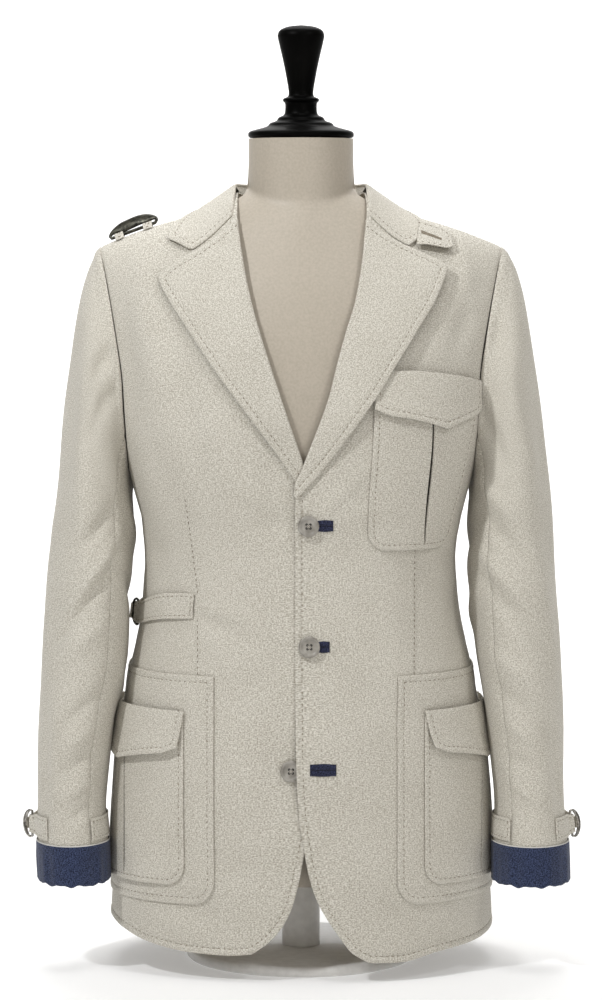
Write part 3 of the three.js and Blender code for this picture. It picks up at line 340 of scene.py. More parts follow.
def even_steps(length, spacing, fine=""):
    """Shares from 0 to 1 along a straight length"""
    return steps(lambda t: np.stack([t * length, t * 0, t * 0], -1), 0, 1, spacing, fine)


def net_normals(net):
    return unit(np.cross(np.gradient(net, axis=1), np.gradient(net, axis=0)))


def runs(net):
    """Millimetres along each row from its first column, and down each column from its first row"""
    along = np.linalg.norm(np.diff(net, axis=1), axis=2)
    down = np.linalg.norm(np.diff(net, axis=0), axis=2)
    along = np.concatenate([np.zeros((net.shape[0], 1)), np.cumsum(along, 1)], 1)
    down = np.concatenate([np.zeros((1, net.shape[1])), np.cumsum(down, 0)], 0)
    return along, down


def net_area(net):
    a, b, c, d = net[:-1, :-1], net[:-1, 1:], net[1:, 1:], net[1:, :-1]
    halves = np.linalg.norm(np.cross(b - a, c - a), axis=2) + np.linalg.norm(np.cross(c - a, d - a), axis=2)
    return float(halves.sum() / 2)


def wall(name, outer, inner, closed=False, chart=None):
    """A mesh between two nets; closed joins the last column to the first, chart lays out the cut"""
    rows, columns = outer.shape[:2]
    grid = np.arange(rows * columns).reshape(rows, columns)
    if closed:
        grid = np.concatenate([grid, grid[:, :1]], 1)
    under = grid + rows * columns
    a, b, c, d = grid[:-1, :-1], grid[:-1, 1:], grid[1:, 1:], grid[1:, :-1]
    faces = [np.stack([a, b, c, d], -1).reshape(-1, 4)]
    faces.append(np.stack([a, d, c, b], -1).reshape(-1, 4) + rows * columns)
    for top, low, flip in ((grid[0], under[0], False), (grid[-1], under[-1], True)):
        rim = np.stack([top[:-1], low[:-1], low[1:], top[1:]], -1)
        faces.append(rim[:, ::-1] if flip else rim)
    if not closed:
        for top, low, flip in ((grid[:, 0], under[:, 0], True), (grid[:, -1], under[:, -1], False)):
            rim = np.stack([top[:-1], low[:-1], low[1:], top[1:]], -1)
            faces.append(rim[:, ::-1] if flip else rim)
    faces = np.concatenate(faces)
    points = np.concatenate([outer.reshape(-1, 3), inner.reshape(-1, 3)])
    p = points[faces]
    volume = np.einsum("ij,ij->i", p[:, 0], np.cross(p[:, 1], p[:, 2])).sum()
    volume += np.einsum("ij,ij->i", p[:, 0], np.cross(p[:, 2], p[:, 3])).sum()
    if volume < 0:
        faces = faces[:, ::-1]
    points[:, 2] += RAISE
    mesh = bpy.data.meshes.new(name)
    mesh.from_pydata((points / 1000).tolist(), [], faces.tolist())
    if chart is None:
        along, down = runs(outer)
        chart = (along - along[:, columns // 2][:, None], down)
    spots = np.stack(np.broadcast_arrays(*chart), -1).reshape(-1, 2) / 1000
    spots = np.concatenate([spots, spots])[faces]
    if closed:
        column = faces % columns
        last = (column == columns - 1).any(1)[:, None] & (column == 0)
        spots[..., 0] += np.where(last, spots[..., 0].max() - spots[..., 0].min(), 0)
    layer = mesh.uv_layers.new(name="cut")
    layer.data.foreach_set("uv", spots.astype(np.float32).ravel())
    mesh.polygons.foreach_set("use_smooth", np.ones(len(faces), bool))
    mesh.set_sharp_from_angle(angle=math.radians(55))
    made = bpy.data.objects.new(name, mesh)
    bpy.context.scene.collection.objects.link(made)
    return made


def rounding(distance, thickness):
    """How far a rounded edge has fallen away from the face, at a distance from the edge"""
    radius = thickness / 2
    inside = np.clip(1 - distance / radius, 0, 1)
    return radius * (1 - np.sqrt(1 - inside**2)) * 0.94


def border_distance(net, line):
    """The distance of every point of a net from a border line"""
    flat = net.reshape(-1, 3)
    nearest = np.full(len(flat), np.inf)
    for start in range(0, len(line) - 1, 60):
        a = line[start : start + 60]
        b = line[start + 1 : start + 61]
        a = a[: len(b)]
        edge = b - a
        share = np.einsum("nmk,mk->nm", flat[:, None] - a, edge) / np.maximum((edge**2).sum(1), 1e-9)
        foot = a + np.clip(share, 0, 1)[..., None] * edge
        nearest = np.minimum(nearest, np.linalg.norm(flat[:, None] - foot, axis=2).min(1))
    return nearest.reshape(net.shape[:2])


def contour(field, level):
    """Chains of row and column places where a field over a net passes through a level"""
    above = field > level
    links = {}
    mixed = above[:-1, :-1].astype(int) + above[:-1, 1:] + above[1:, :-1] + above[1:, 1:]
    for r, c in np.argwhere((mixed > 0) & (mixed < 4)):
        corners = (r, c), (r, c + 1), (r + 1, c + 1), (r + 1, c)
        sides = [(corners[0], corners[1]), (corners[1], corners[2]),
                 (corners[3], corners[2]), (corners[0], corners[3])]
        crossed = [side for side in sides if above[side[0]] != above[side[1]]]
        for first, second in zip(crossed[::2], crossed[1::2]):
            links.setdefault(first, []).append(second)
            links.setdefault(second, []).append(first)
    chains, seen = [], set()
    for start in sorted(links, key=lambda side: len(links[side])):
        if start in seen:
            continue
        chain, here = [start], start
        seen.add(start)
        while True:
            onward = [side for side in links[here] if side not in seen]
            if not onward:
                break
            here = onward[0]
            seen.add(here)
            chain.append(here)
        places = []
        for (r0, c0), (r1, c1) in chain:
            share = (level - field[r0, c0]) / (field[r1, c1] - field[r0, c0])
            places.append((mix(r0, r1, share), mix(c0, c1, share)))
        chains.append(np.array(places))
    return chains


def sample(net, places):
    """Points of a net at fractional rows and columns"""
    r, c = places[:, 0], places[:, 1]
    r0 = np.clip(r.astype(int), 0, net.shape[0] - 2)
    c0 = np.clip(c.astype(int), 0, net.shape[1] - 2)
    fr, fc = (r - r0)[:, None], (c - c0)[:, None]
    top = mix(net[r0, c0], net[r0, c0 + 1], fc)
    low = mix(net[r0 + 1, c0], net[r0 + 1, c0 + 1], fc)
    return mix(top, low, fr)


# %% [markdown]
# The cloth is a plain weave of uneven yarns, so its colour changes in short streaks along and
# across the cut rather than in spots. Two stretched noises give the streaks, a finer crossing
# pattern gives the threads, and both read the piece's own cut, so the grain turns with each
# sleeve and flap. Denim is the same idea with a diagonal twill.

# %% Materials of cloth
def material(name):
    made = bpy.data.materials.new(name)
    made.use_nodes = True
    made.node_tree.nodes.clear()
    return made, made.node_tree.nodes, made.node_tree.links


def add(nodes, kind, **settings):
    node = nodes.new(kind)
    for key, value in settings.items():
        setattr(node, key, value)
    return node


def stretched_noise(nodes, links, source, scale, turn=0.0, detail=2.0):
    place = add(nodes, "ShaderNodeMapping")
    place.inputs["Scale"].default_value = scale
    place.inputs["Rotation"].default_value = (0, 0, turn)
    noise = add(nodes, "ShaderNodeTexNoise", noise_dimensions="2D")
    noise.inputs["Scale"].default_value = 1
    noise.inputs["Detail"].default_value = detail
    links.new(source, place.inputs["Vector"])
    links.new(place.outputs["Vector"], noise.inputs["Vector"])
    return noise.outputs["Fac"]


def maths(nodes, links, operation, first, second):
    node = add(nodes, "ShaderNodeMath", operation=operation)
    for socket, value in zip(node.inputs, (first, second)):
        if isinstance(value, (int, float)):
            socket.default_value = value
        else:
            links.new(value, socket)
    return node.outputs[0]


def ramp(nodes, links, factor, stops):
    node = add(nodes, "ShaderNodeValToRGB")
    while len(node.color_ramp.elements) < len(stops):
        node.color_ramp.elements.new(0.5)
    for element, (position, colour) in zip(node.color_ramp.elements, stops):
        element.position = position
        element.color = (*colour, 1)
    links.new(factor, node.inputs["Fac"])
    return node.outputs["Color"]


SELVEDGE = 0.0013


def woven(name, dark, light, thread, streak, bump, spread, twill=False, edge=None):
    """A woven cloth: colours in linear light, thread pitch and streak length in metres"""
    made, nodes, links = material(name)
    cut = add(nodes, "ShaderNodeUVMap", uv_map="cut").outputs["UV"]
    turn = math.radians(52) if twill else 0.0
    across = stretched_noise(nodes, links, cut, (1 / thread, 1 / streak, 1), turn)
    along = stretched_noise(nodes, links, cut, (1 / streak, 1 / thread, 1), turn)
    cloudy = stretched_noise(nodes, links, cut, (22, 22, 1))
    fine = stretched_noise(nodes, links, cut, (760, 900, 1), detail=1.0)
    share = 0.75 if twill else 0.5
    grain = maths(nodes, links, "ADD", maths(nodes, links, "MULTIPLY", across, share),
                  maths(nodes, links, "MULTIPLY", along, 1 - share))
    grain = maths(nodes, links, "ADD", maths(nodes, links, "MULTIPLY", grain, 0.4),
                  maths(nodes, links, "MULTIPLY", fine, 0.6))
    shade = maths(nodes, links, "ADD", maths(nodes, links, "MULTIPLY", grain, 0.95),
                  maths(nodes, links, "MULTIPLY", cloudy, 0.05))
    colour = ramp(nodes, links, shade, [(0.5 - spread, dark), (0.5 + spread, light)])
    if edge:
        parts = add(nodes, "ShaderNodeSeparateXYZ")
        links.new(cut, parts.inputs["Vector"])
        blend = add(nodes, "ShaderNodeMix", data_type="RGBA")
        links.new(maths(nodes, links, "LESS_THAN", parts.outputs["Y"], SELVEDGE), blend.inputs["Factor"])
        links.new(colour, blend.inputs["A"])
        blend.inputs["B"].default_value = (*edge, 1)
        colour = blend.outputs["Result"]
    relief = add(nodes, "ShaderNodeBump")
    relief.inputs["Strength"].default_value = bump
    relief.inputs["Distance"].default_value = 0.0006
    links.new(grain, relief.inputs["Height"])
    shader = add(nodes, "ShaderNodeBsdfPrincipled")
    shader.inputs["Roughness"].default_value = 0.92
    shader.inputs["Specular IOR Level"].default_value = 0.18
    shader.inputs["Sheen Weight"].default_value = 0.12
    shader.inputs["Sheen Roughness"].default_value = 0.6
    links.new(colour, shader.inputs["Base Color"])
    links.new(relief.outputs["Normal"], shader.inputs["Normal"])
    links.new(shader.outputs["BSDF"], add(nodes, "ShaderNodeOutputMaterial").inputs["Surface"])
    return made


LINEN = woven("slub_linen", (0.39, 0.36, 0.30), (0.71, 0.685, 0.62), 0.0011, 0.0048, 0.8, 0.12)
DENIM = woven("indigo_denim", (0.003, 0.006, 0.022), (0.050, 0.069, 0.145), 0.0010, 0.004, 0.9, 0.10,
              twill=True, edge=(0.62, 0.61, 0.58))
NAVY = woven("navy_binding", (0.002, 0.003, 0.010), (0.036, 0.042, 0.095), 0.0007, 0.004, 0.5, 0.12)
# Painted shade: a near-black copy of the cloth for the pleats' inner faces, to darken the slits
PLEAT_SHADE = woven("pleat_painted_shade", (0.030, 0.026, 0.020), (0.055, 0.050, 0.040), 0.0011, 0.0048, 0.5, 0.12)
print("cloth materials:", LINEN.name, DENIM.name, NAVY.name)

# %% [markdown]
# The hard things are few: grey horn buttons, dark aged metal rings, the lacquered cap and the
# enamelled stand, and the taut ivory cover of the form.

# %% Materials of hard pieces
def coated(name, dark, light, roughness, scale, metallic=0.0, coat=0.0, shine=0.5, bump=0.0):
    made, nodes, links = material(name)
    noise = add(nodes, "ShaderNodeTexNoise")
    noise.inputs["Scale"].default_value = scale
    noise.inputs["Detail"].default_value = 4
    links.new(add(nodes, "ShaderNodeTexCoord").outputs["Object"], noise.inputs["Vector"])
    shader = add(nodes, "ShaderNodeBsdfPrincipled")
    shader.inputs["Metallic"].default_value = metallic
    shader.inputs["Specular IOR Level"].default_value = shine
    shader.inputs["Coat Weight"].default_value = coat
    shader.inputs["Coat Roughness"].default_value = 0.06
    mottle = ramp(nodes, links, noise.outputs["Fac"], [(0.35, dark), (0.65, light)])
    links.new(mottle, shader.inputs["Base Color"])
    spread = maths(nodes, links, "MULTIPLY", noise.outputs["Fac"], 0.12)
    links.new(maths(nodes, links, "ADD", spread, roughness - 0.06), shader.inputs["Roughness"])
    if bump:
        relief = add(nodes, "ShaderNodeBump")
        relief.inputs["Strength"].default_value = bump
        relief.inputs["Distance"].default_value = 0.0005
        links.new(noise.outputs["Fac"], relief.inputs["Height"])
        links.new(relief.outputs["Normal"], shader.inputs["Normal"])
    links.new(shader.outputs["BSDF"], add(nodes, "ShaderNodeOutputMaterial").inputs["Surface"])
    return made


HORN = coated("grey_horn", (0.19, 0.175, 0.15), (0.36, 0.34, 0.305), 0.3, 110, coat=0.35)
DARK_METAL = coated("dark_metal", (0.018, 0.018, 0.013), (0.075, 0.072, 0.055), 0.36, 330, metallic=0.7)
WORN_METAL = coated("worn_metal", (0.16, 0.15, 0.135), (0.52, 0.50, 0.47), 0.3, 420, metallic=1.0)
FORM_COVER = coated("form_cover", (0.41, 0.365, 0.30), (0.46, 0.41, 0.34), 0.5, 420, bump=0.12)
LACQUER = coated("black_lacquer", (0.0012, 0.0012, 0.0011), (0.0022, 0.0021, 0.0019), 0.42, 40, shine=0.03)
THREAD = coated("sewing_thread", (0.15, 0.125, 0.09), (0.30, 0.26, 0.20), 0.85, 900)
ENAMEL = coated("pale_enamel", (0.72, 0.71, 0.69), (0.80, 0.79, 0.77), 0.4, 120, coat=0.2)

# %% [markdown]
# Every finished piece rides on the part's one body and stands for its imported node. For cloth,
# the size of its cut is also measured on its net before the folds.

# %% Finishing a piece
stitch_lines = []


def finish_piece(piece, node, finish):
    piece.data.materials.append(finish)
    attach(piece, "root")
    if node:
        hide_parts(node)
    return piece


def finish_cloth(piece, node, net, finish=None):
    finish_piece(piece, node, finish or LINEN)
    along, down = runs(net)
    width, length = along[:, -1].max() / 1000, down[-1].max() / 1000
    area = min(net_area(net) / 1e6, width * length)
    print(f"{piece.name}: cut {width * 1000:.0f} by {length * 1000:.0f} mm, {area * 1e4:.0f} cm2")
    return piece


def stitch_along(net, field, distance, keep=None):
    """Remembers a row of stitches at a distance from a border, with the way the cloth faces"""
    facing = net_normals(net)
    for places in contour(field, distance):
        points, normals = sample(net, places), sample(facing, places)
        if keep is not None:
            kept = keep(points)
            points, normals = points[kept], normals[kept]
        if len(points) > 3:
            stitch_lines.append((points, normals))


def drawn_in(distance, offset, welt=0.5, dip=0.7):
    """The welt between an edge and its row of stitches, and the dip along the stitches"""
    swell = welt * np.sin(np.pi * np.clip(distance / offset, 0, 1))
    return swell - dip * np.exp(-(((distance - offset) / 1.1) ** 2))


# %% [markdown]
# Fronts. Each front runs from its free edge to the side seam and from the hem to the shoulder
# seam. The right one laps over, and both are drawn in by a row of stitches along edge and hem.

# %% Fronts
STITCH_IN = 6.5
BODY_SPACING = 3.1


def row_climb(row, turn):
    """A row's climb: 0 to 1 settles onto the hem, 1 to 2 is the body, 2 to 3 the shoulder"""
    low = mix(hem_at(turn), HEM_ZONE, np.clip(row, 0, 1)) - ARMPIT
    middle = mix(HEM_ZONE - ARMPIT, 0, np.clip(row - 1, 0, 1))
    return np.where(row < 1, low, np.where(row < 2, middle, (row - 2) * SHOULDER_SEAM))


def turn_at_edge(row, edge, start):
    turn = np.full(row.shape, float(start))
    for _ in range(40):
        z = wrapped(turn, row_climb(row, turn))[..., 2]
        turn = mix(turn, turn_of(edge(z), z), 0.6)
    return turn


def turn_at_armhole(row, armhole, seam):
    turn = np.full(row.shape, float(seam))
    for _ in range(12):
        turn = armhole(wrapped(turn, np.maximum(row_climb(row, turn), 0.01))[..., 2])
    return np.where(row < 2, seam, turn)


def right_front_lift(x, height):
    near_button = np.exp(-(((height - 197) / 38) ** 2))
    return 2.2 * near_button * (1 - smooth_step(4, 46, x))


def left_front_lift(x, height):
    near_button = np.exp(-(((height - 197) / 38) ** 2))
    near_break = smooth_step(415, 440, height) * (1 - smooth_step(505, 540, height))
    return -smooth_step(-52, -24, x) * (2.4 + 1.9 * near_button + 2.3 * near_break)


LAPEL_RIGHT = table("share roll x height", [
    (0, 462, -3.5, 461), (0.1, 489, 18, 485), (0.22, 518, 38, 511), (0.42, 565, 70, 557),
    (0.6, 612, 90, 590), (0.72, 645, 109, 620), (0.85, 683, 127, 649), (0.95, 720, 138.5, 675),
    (1, 734.5, 142.5, 686),
])
LAPEL_LEFT = table("share roll x height", [
    (0, 446, 13, 447), (0.12, 485, -4, 475), (0.25, 515, -27, 508), (0.42, 555, -54, 546),
    (0.56, 598, -75, 575), (0.7, 638, -103, 616), (0.85, 683, -125, 649), (0.95, 720, -136, 669),
    (1, 735, -139, 677),
])


def under_lapel(base, rows, side):
    """A crease in the front where the lapel's edge presses on it"""
    z = np.linspace(rows["height"][0] + 4, rows["height"][-1], 90)
    x = curve(rows, "height", "x")(z) + 1.3 * side
    away = border_distance(base, wrapped(turn_of(x, z), climb_of(x, z)))
    return 1.8 * np.exp(-((away / 1.8) ** 2))


def seam_dip(distance):
    return 0.7 * np.exp(-((distance / 1.9) ** 2))


def grain(turn, net):
    """The cut of a piece round the body, with its yarns upright and level"""
    return turn * 2.75, -net[..., 2]


def dart_dip(x, height, darts):
    total = np.zeros(x.shape)
    for x0, z0, x1, z1 in darts:
        share = (height - z0) / (z1 - z0)
        inside = smooth_step(-0.04, 0.04, share) * (1 - smooth_step(0.96, 1.04, share))
        total -= 1.0 * inside * np.exp(-(((x - mix(x0, x1, share)) / 2.4) ** 2))
    return total


def front_panel(name, side, edge_rows, lift, darts, lapel_rows):
    edge = curve(edge_rows, "height", "x")
    rows = steps(lambda t: wrapped(side * 42.0, row_climb(t, side * 42.0)), 0, 3, BODY_SPACING, "low")
    rows[-1] = 3
    inner = turn_at_edge(rows, edge, side * 8)
    seam = np.minimum(turn_at_armhole(rows, armhole_front, SIDE_SEAM), SIDE_SEAM - SEAM_TURN)
    middle = np.argmin(np.abs(rows - 1.6))
    across = lambda u: wrapped(mix(inner[middle], side * seam[middle], u), row_climb(rows[middle], 0.0))
    columns = steps(across, 0, 1, BODY_SPACING, "low")
    turn = mix(inner[:, None], side * seam[:, None], columns[None])
    climb = row_climb(rows[:, None], turn)
    base = wrapped(turn, climb)
    border = np.concatenate([base[base[:, 0, 2] < 462][:, 0][::-1], base[0, 1:]])
    distance = border_distance(base, border)
    rise = lift(base[..., 0], base[..., 2]) + dart_dip(base[..., 0], base[..., 2], darts)
    rise = rise - seam_dip(border_distance(base, base[:, -1])) - seam_dip(border_distance(base, base[-1]))
    rise = rise - under_lapel(base, lapel_rows, side)
    edging = drawn_in(distance, STITCH_IN)
    shed = rounding(distance, CLOTH)
    outer = on_trunk(turn, climb, rise + edging - shed)
    inside = on_trunk(turn, climb, rise + 0.5 * edging - CLOTH + shed)
    piece = wall(name, outer, inside, chart=grain(turn, base))
    finish_cloth(piece, name.replace("_cloth", ""), base)
    stitch_along(outer, distance, STITCH_IN)
    for x0, z0, x1, z1 in darts:
        z = np.linspace(z0, z1, 60)
        x = mix(x0, x1, (z - z0) / (z1 - z0)) + 3.2 * side * -1
        turns, climbs = turn_of(x, z), climb_of(x, z)
        normals = normal_of(wrapped, turns, climbs, 90)
        stitch_lines.append((on_trunk(turns, climbs, lift(x, z) + 0.05), normals))
    return piece


front_panel("front_right_cloth", 1, RIGHT_EDGE, right_front_lift, [(114, 407, 113, 289)], LAPEL_RIGHT)
front_panel("front_left_cloth", -1, LEFT_EDGE, left_front_lift,
            [(-115.6, 457, -104, 368), (-104, 340, -103.5, 289)], LAPEL_LEFT)

# %% [markdown]
# Side panels and backs. The backs meet in a centre seam, and below the vent's top the right
# one runs on under the left one. None of it shows in the photograph, so it is kept plain.

# %% Side panels and backs
VENT_TOP = 240
VENT_LAP = 9
NECK_POINT = 62
NECK_BACK = 743


def side_panel(name, side):
    top_at = curve({key: column[:5] for key, column in ARMHOLE.items()}, "back", "height")
    rows = even_steps(480, BODY_SPACING, "low")
    columns = even_steps(42, BODY_SPACING)
    turn = mix(SIDE_SEAM + SEAM_TURN, BACK_SEAM - SEAM_TURN, columns[None]) + 0 * rows[:, None]
    height = mix(hem_at(side * turn), top_at(turn), rows[:, None])
    climb = climb_of(half_width_at(height), height)
    base = wrapped(side * turn, climb)
    distance = border_distance(base, base[0])
    edging = drawn_in(distance, 28, 0.3, 0.4)
    shed = rounding(distance, CLOTH)
    edging = edging - seam_dip(border_distance(base, base[:, 0]))
    edging = edging - seam_dip(border_distance(base, base[:, -1]))
    outer = on_trunk(side * turn, climb, edging - shed)
    inside = on_trunk(side * turn, climb, edging - CLOTH + shed)
    piece = wall(name, outer, inside, chart=grain(side * turn, base))
    finish_cloth(piece, name.replace("_cloth", ""), base)


side_panel("side_right_cloth", 1)
side_panel("side_left_cloth", -1)


def back_top(x):
    out = np.abs(x)
    height = mix(NECK_BACK, ridge_at(NECK_POINT), np.clip(out / NECK_POINT, 0, 1) ** 2.4)
    return np.where(out >= NECK_POINT, 90, np.minimum(climb_of(out, height), 90))


def back_panel(name, side):
    under = side > 0
    rows = steps(lambda t: wrapped(140.0, row_climb(t, 140.0)), 0, 3, BODY_SPACING, "low")
    rows[-1] = 3
    rough_height = mix(0, HEM_ZONE, np.clip(rows, 0, 1)) + 350 * np.clip(rows - 1, 0, 9)
    lapped = 1 - smooth_step(VENT_TOP - 1, VENT_TOP, rough_height)
    centre = 180 - SEAM_TURN + (VENT_LAP * lapped if under else 0)
    outside = np.maximum(turn_at_armhole(rows, armhole_back, BACK_SEAM), BACK_SEAM) + SEAM_TURN
    columns = steps(lambda u: wrapped(mix(180.0, 112.0, u), -100.0), 0, 1, BODY_SPACING, "low")
    turn = mix((centre + 0 * rows)[:, None], outside[:, None], columns[None])
    climb = row_climb(rows[:, None], side * turn)
    flat = wrapped(turn, climb)
    climb = np.where(climb > 0, climb * back_top(flat[..., 0]) / 90, climb)
    base = wrapped(side * turn, climb)
    heights = base[..., 2]
    sunk = 0
    if under:
        below_vent = 1 - smooth_step(VENT_TOP - 1, VENT_TOP + 36, heights)
        sunk = (CLOTH + LAYER_GAP) * smooth_step(170, 178, turn) * below_vent
    distance = border_distance(base, base[0])
    seam_side = base[:, 0]
    to_centre = border_distance(base, seam_side)
    vent_edge = base[base[:, 0, 2] < VENT_TOP][:, 0]
    to_vent = border_distance(base, vent_edge)
    edging = drawn_in(distance, 28, 0.3, 0.4) - seam_dip(to_centre) * (heights > VENT_TOP)
    edging = edging - seam_dip(border_distance(base, base[:, -1]))
    edging = edging - seam_dip(border_distance(base, base[-1]))
    shed = rounding(np.minimum(distance, to_vent), CLOTH)
    outer = on_trunk(side * turn, climb, edging - sunk - shed)
    inside = on_trunk(side * turn, climb, edging - sunk - CLOTH + shed)
    piece = wall(name, outer, inside, chart=grain(side * turn, base))
    finish_cloth(piece, name.replace("_cloth", ""), base)
    if not under:
        stitch_along(outer, to_vent, STITCH_IN, lambda p: p[:, 2] < VENT_TOP + STITCH_IN)


back_panel("back_right_cloth", 1)
back_panel("back_left_cloth", -1)

# %% [markdown]
# Lapels and collar. A lapel is the front's own facing folded back along the roll line, so its
# inner edge isn't cut: it rolls over and joins the front. The collar does the same over its stand.

# %% Lapels
LAPEL_CLOTH = CLOTH - 0.2
ROLL_STEPS = np.linspace(1, 0, 9)[:-1]


def rolled(net, below, thickness, normals):
    """Adds a roll along a net's first column: the cloth turns over and faces back underneath"""
    edge, second = net[:, 0], net[:, 3]
    away = unit(edge - second)
    facing = normals[:, 0]
    radius = (thickness + below) / 2
    centre = edge - facing * radius
    turned = []
    for share in ROLL_STEPS:
        angle = share * math.radians(165)
        turned.append(centre + (away * math.sin(angle) + facing * math.cos(angle)) * radius)
    return np.concatenate([np.stack(turned, 1), net], 1)


def lapel(name, rows, edge_rows, lift, edge_lift):
    roll = curve(edge_rows, "height", "x")
    roll_height, edge_x, edge_height = (curve(rows, "share", key) for key in ("roll", "x", "height"))
    v = steps(lambda t: np.stack([edge_x(t), t * 0, edge_height(t)], -1), 0, 1, 2.4, "high")
    u = even_steps(74, 2.2, "high")
    start_height = roll_height(v)
    start = turn_of(roll(start_height), start_height)
    end = turn_of(edge_x(v), edge_height(v))
    sag = -4 * np.sin(np.pi * u)[None] * (v**8)[:, None]
    height = mix(start_height[:, None], edge_height(v)[:, None], u[None]) + sag
    turn = mix(start[:, None], end[:, None], u[None])
    x = wrapped(turn, np.minimum(height - ARMPIT, 0))[..., 0]
    ease = np.sin(np.pi * u)[None] * 1.6 * smooth_step(0.1, 0.4, v)[:, None]
    climb = climb_of(x, height)
    base = wrapped(turn, climb)
    rise = lift(x, height) + LAYER_GAP + ease + edge_lift(v)[:, None] * u[None] ** 1.5
    border = np.concatenate([base[:, -1], base[-1, ::-1]])
    distance = border_distance(base, border)
    edging = drawn_in(distance, STITCH_IN, 0.45, 0.5)
    shed = rounding(distance, LAPEL_CLOTH)
    outer = on_trunk(turn, climb, rise + LAPEL_CLOTH + edging - shed)
    inside = on_trunk(turn, climb, rise + 0.4 * edging + shed)
    facing = normal_of(wrapped, turn, climb, 90)
    spare = 1.1
    outer_net = rolled(outer, 2 * LAYER_GAP + spare, LAPEL_CLOTH, facing)
    inner_net = rolled(inside, 0.5, 0.4, facing)
    piece = wall(name, outer_net, inner_net)
    finish_cloth(piece, name.replace("_cloth", ""), base)
    stitch_along(outer, distance, STITCH_IN)
    return outer


lapel("lapel_right_cloth", LAPEL_RIGHT, RIGHT_EDGE, right_front_lift,
      lambda v: 6.4 * smooth_step(0.1, 0.4, v))
lapel("lapel_left_cloth", LAPEL_LEFT, LEFT_EDGE, left_front_lift, lambda v: 3.4 * smooth_step(0.1, 0.4, v))

# %% Collar and stand
COLLAR = table("share fold_out fold_climb fold_rise edge_out edge_climb edge_rise", [
    (0, 68, 71.4, 2.6, 130.5, 66.5, 2.6), (0.14, 66, 78.5, 4, 126, 73.5, 2.8),
    (0.28, 64, 86, 6, 117, 82, 3), (0.42, 62, 94.5, 9, 105, 93, 3), (0.58, 56, 103, 13, 88, 106, 3),
    (0.74, 42, 110, 17.5, 62, 117, 3), (0.88, 22, 114, 20, 31, 123.5, 3), (1, 0, 115, 21, 0, 125.5, 3),
])
collar_at = {key: curve(COLLAR, "share", key) for key in COLLAR if key != "share"}
STAND_START = 0.58


def collar_spot(along, down):
    share = 1 - np.abs(along)
    out = mix(collar_at["fold_out"](share), collar_at["edge_out"](share), down)
    climb = mix(collar_at["fold_climb"](share), collar_at["edge_climb"](share), down)
    belly = 2.5 * np.sin(np.pi * down) * smooth_step(0.1, 0.5, share)
    rise = mix(collar_at["fold_rise"](share), collar_at["edge_rise"](share), down) + belly
    near_end = 1 - smooth_step(0, 0.16, share)
    side = np.where(along < 0, -1, 1)
    drop_left = np.interp(down, [0, 0.35, 0.6, 0.7, 1], [5, 8, 9.6, 8.4, 0])
    drop_right = np.interp(down, [0, 0.35, 0.6, 0.72, 0.86, 1], [5, 7.5, 8, 4, 0, 0])
    climb = climb - np.where(side < 0, drop_left, drop_right) * near_end
    tucked = -0.7 * (1 - smooth_step(0.5, 0.64, down))
    standing = 2.4 * smooth_step(0.62, 0.74, down) * (side < 0)
    return side * out, climb, rise + (tucked + standing) * near_end


def collar_fall():
    path = lambda t: laid(collar_spot(t, 0.6)[0], collar_spot(t, 0.6)[1])
    along = steps(path, -1, 1, 3.0, "low high")
    down = even_steps(60, 2.6, "high")
    out, climb, rise = collar_spot(along[:, None], down[None])
    base = on_shoulder(out, climb, rise)
    border = np.concatenate([base[0], base[:, -1], base[-1, ::-1]])
    distance = border_distance(base, border)
    edging = drawn_in(distance, STITCH_IN, 0.4, 0.45)
    shed = rounding(distance, COLLAR_CLOTH)
    outer = on_shoulder(out, climb, rise + edging - shed)
    inside = on_shoulder(out, climb, rise - COLLAR_CLOTH + 0.4 * edging + shed)
    facing = normal_of(laid, out, climb)
    facing = facing * np.sign((facing * (base - np.array([0, 0, 600]))).sum(-1, keepdims=True))
    outer_net = rolled(outer, LAYER_GAP + STAND_CLOTH + 0.3, COLLAR_CLOTH, facing)
    inner_net = rolled(inside, 0.4, 0.3, facing)
    piece = wall("collar_fall_cloth", outer_net, inner_net)
    finish_cloth(piece, "collar_fall", base)
    stitch_along(outer, distance, STITCH_IN)


collar_fall()


def stand_spot(along, down):
    share = 1 - np.abs(along)
    out = collar_at["fold_out"](share) - 0.5
    fold = collar_at["fold_climb"](share)
    seam = 180 - back_top(out) - 0.35
    climb = mix(fold, np.maximum(seam, fold + 0.5), down)
    rise = mix(collar_at["fold_rise"](share) - COLLAR_CLOTH - LAYER_GAP, STAND_CLOTH, down)
    return np.where(along < 0, -1, 1) * out, climb, rise


def collar_stand():
    along = np.linspace(-STAND_START, STAND_START, 70)
    down = np.linspace(0, 1, 10)
    out, climb, rise = stand_spot(along[:, None], down[None])
    base = on_shoulder(out, climb, rise)
    piece = wall("collar_stand_cloth", base, on_shoulder(out, climb, rise - STAND_CLOTH))
    finish_cloth(piece, "collar_stand", base)


collar_stand()

# %% Throat tab
TAB = table("share low_x low_z high_x high_z", [
    (0, 112, 702, 116, 723.5), (0.5, 129, 699, 130, 719.5), (0.85, 142, 697, 142, 715),
    (1, 147.5, 699, 147, 710.5),
])
TAB_RISE = 3.7
TAB_STITCH = 3.4
tab_at = {key: curve(TAB, "share", key) for key in TAB if key != "share"}


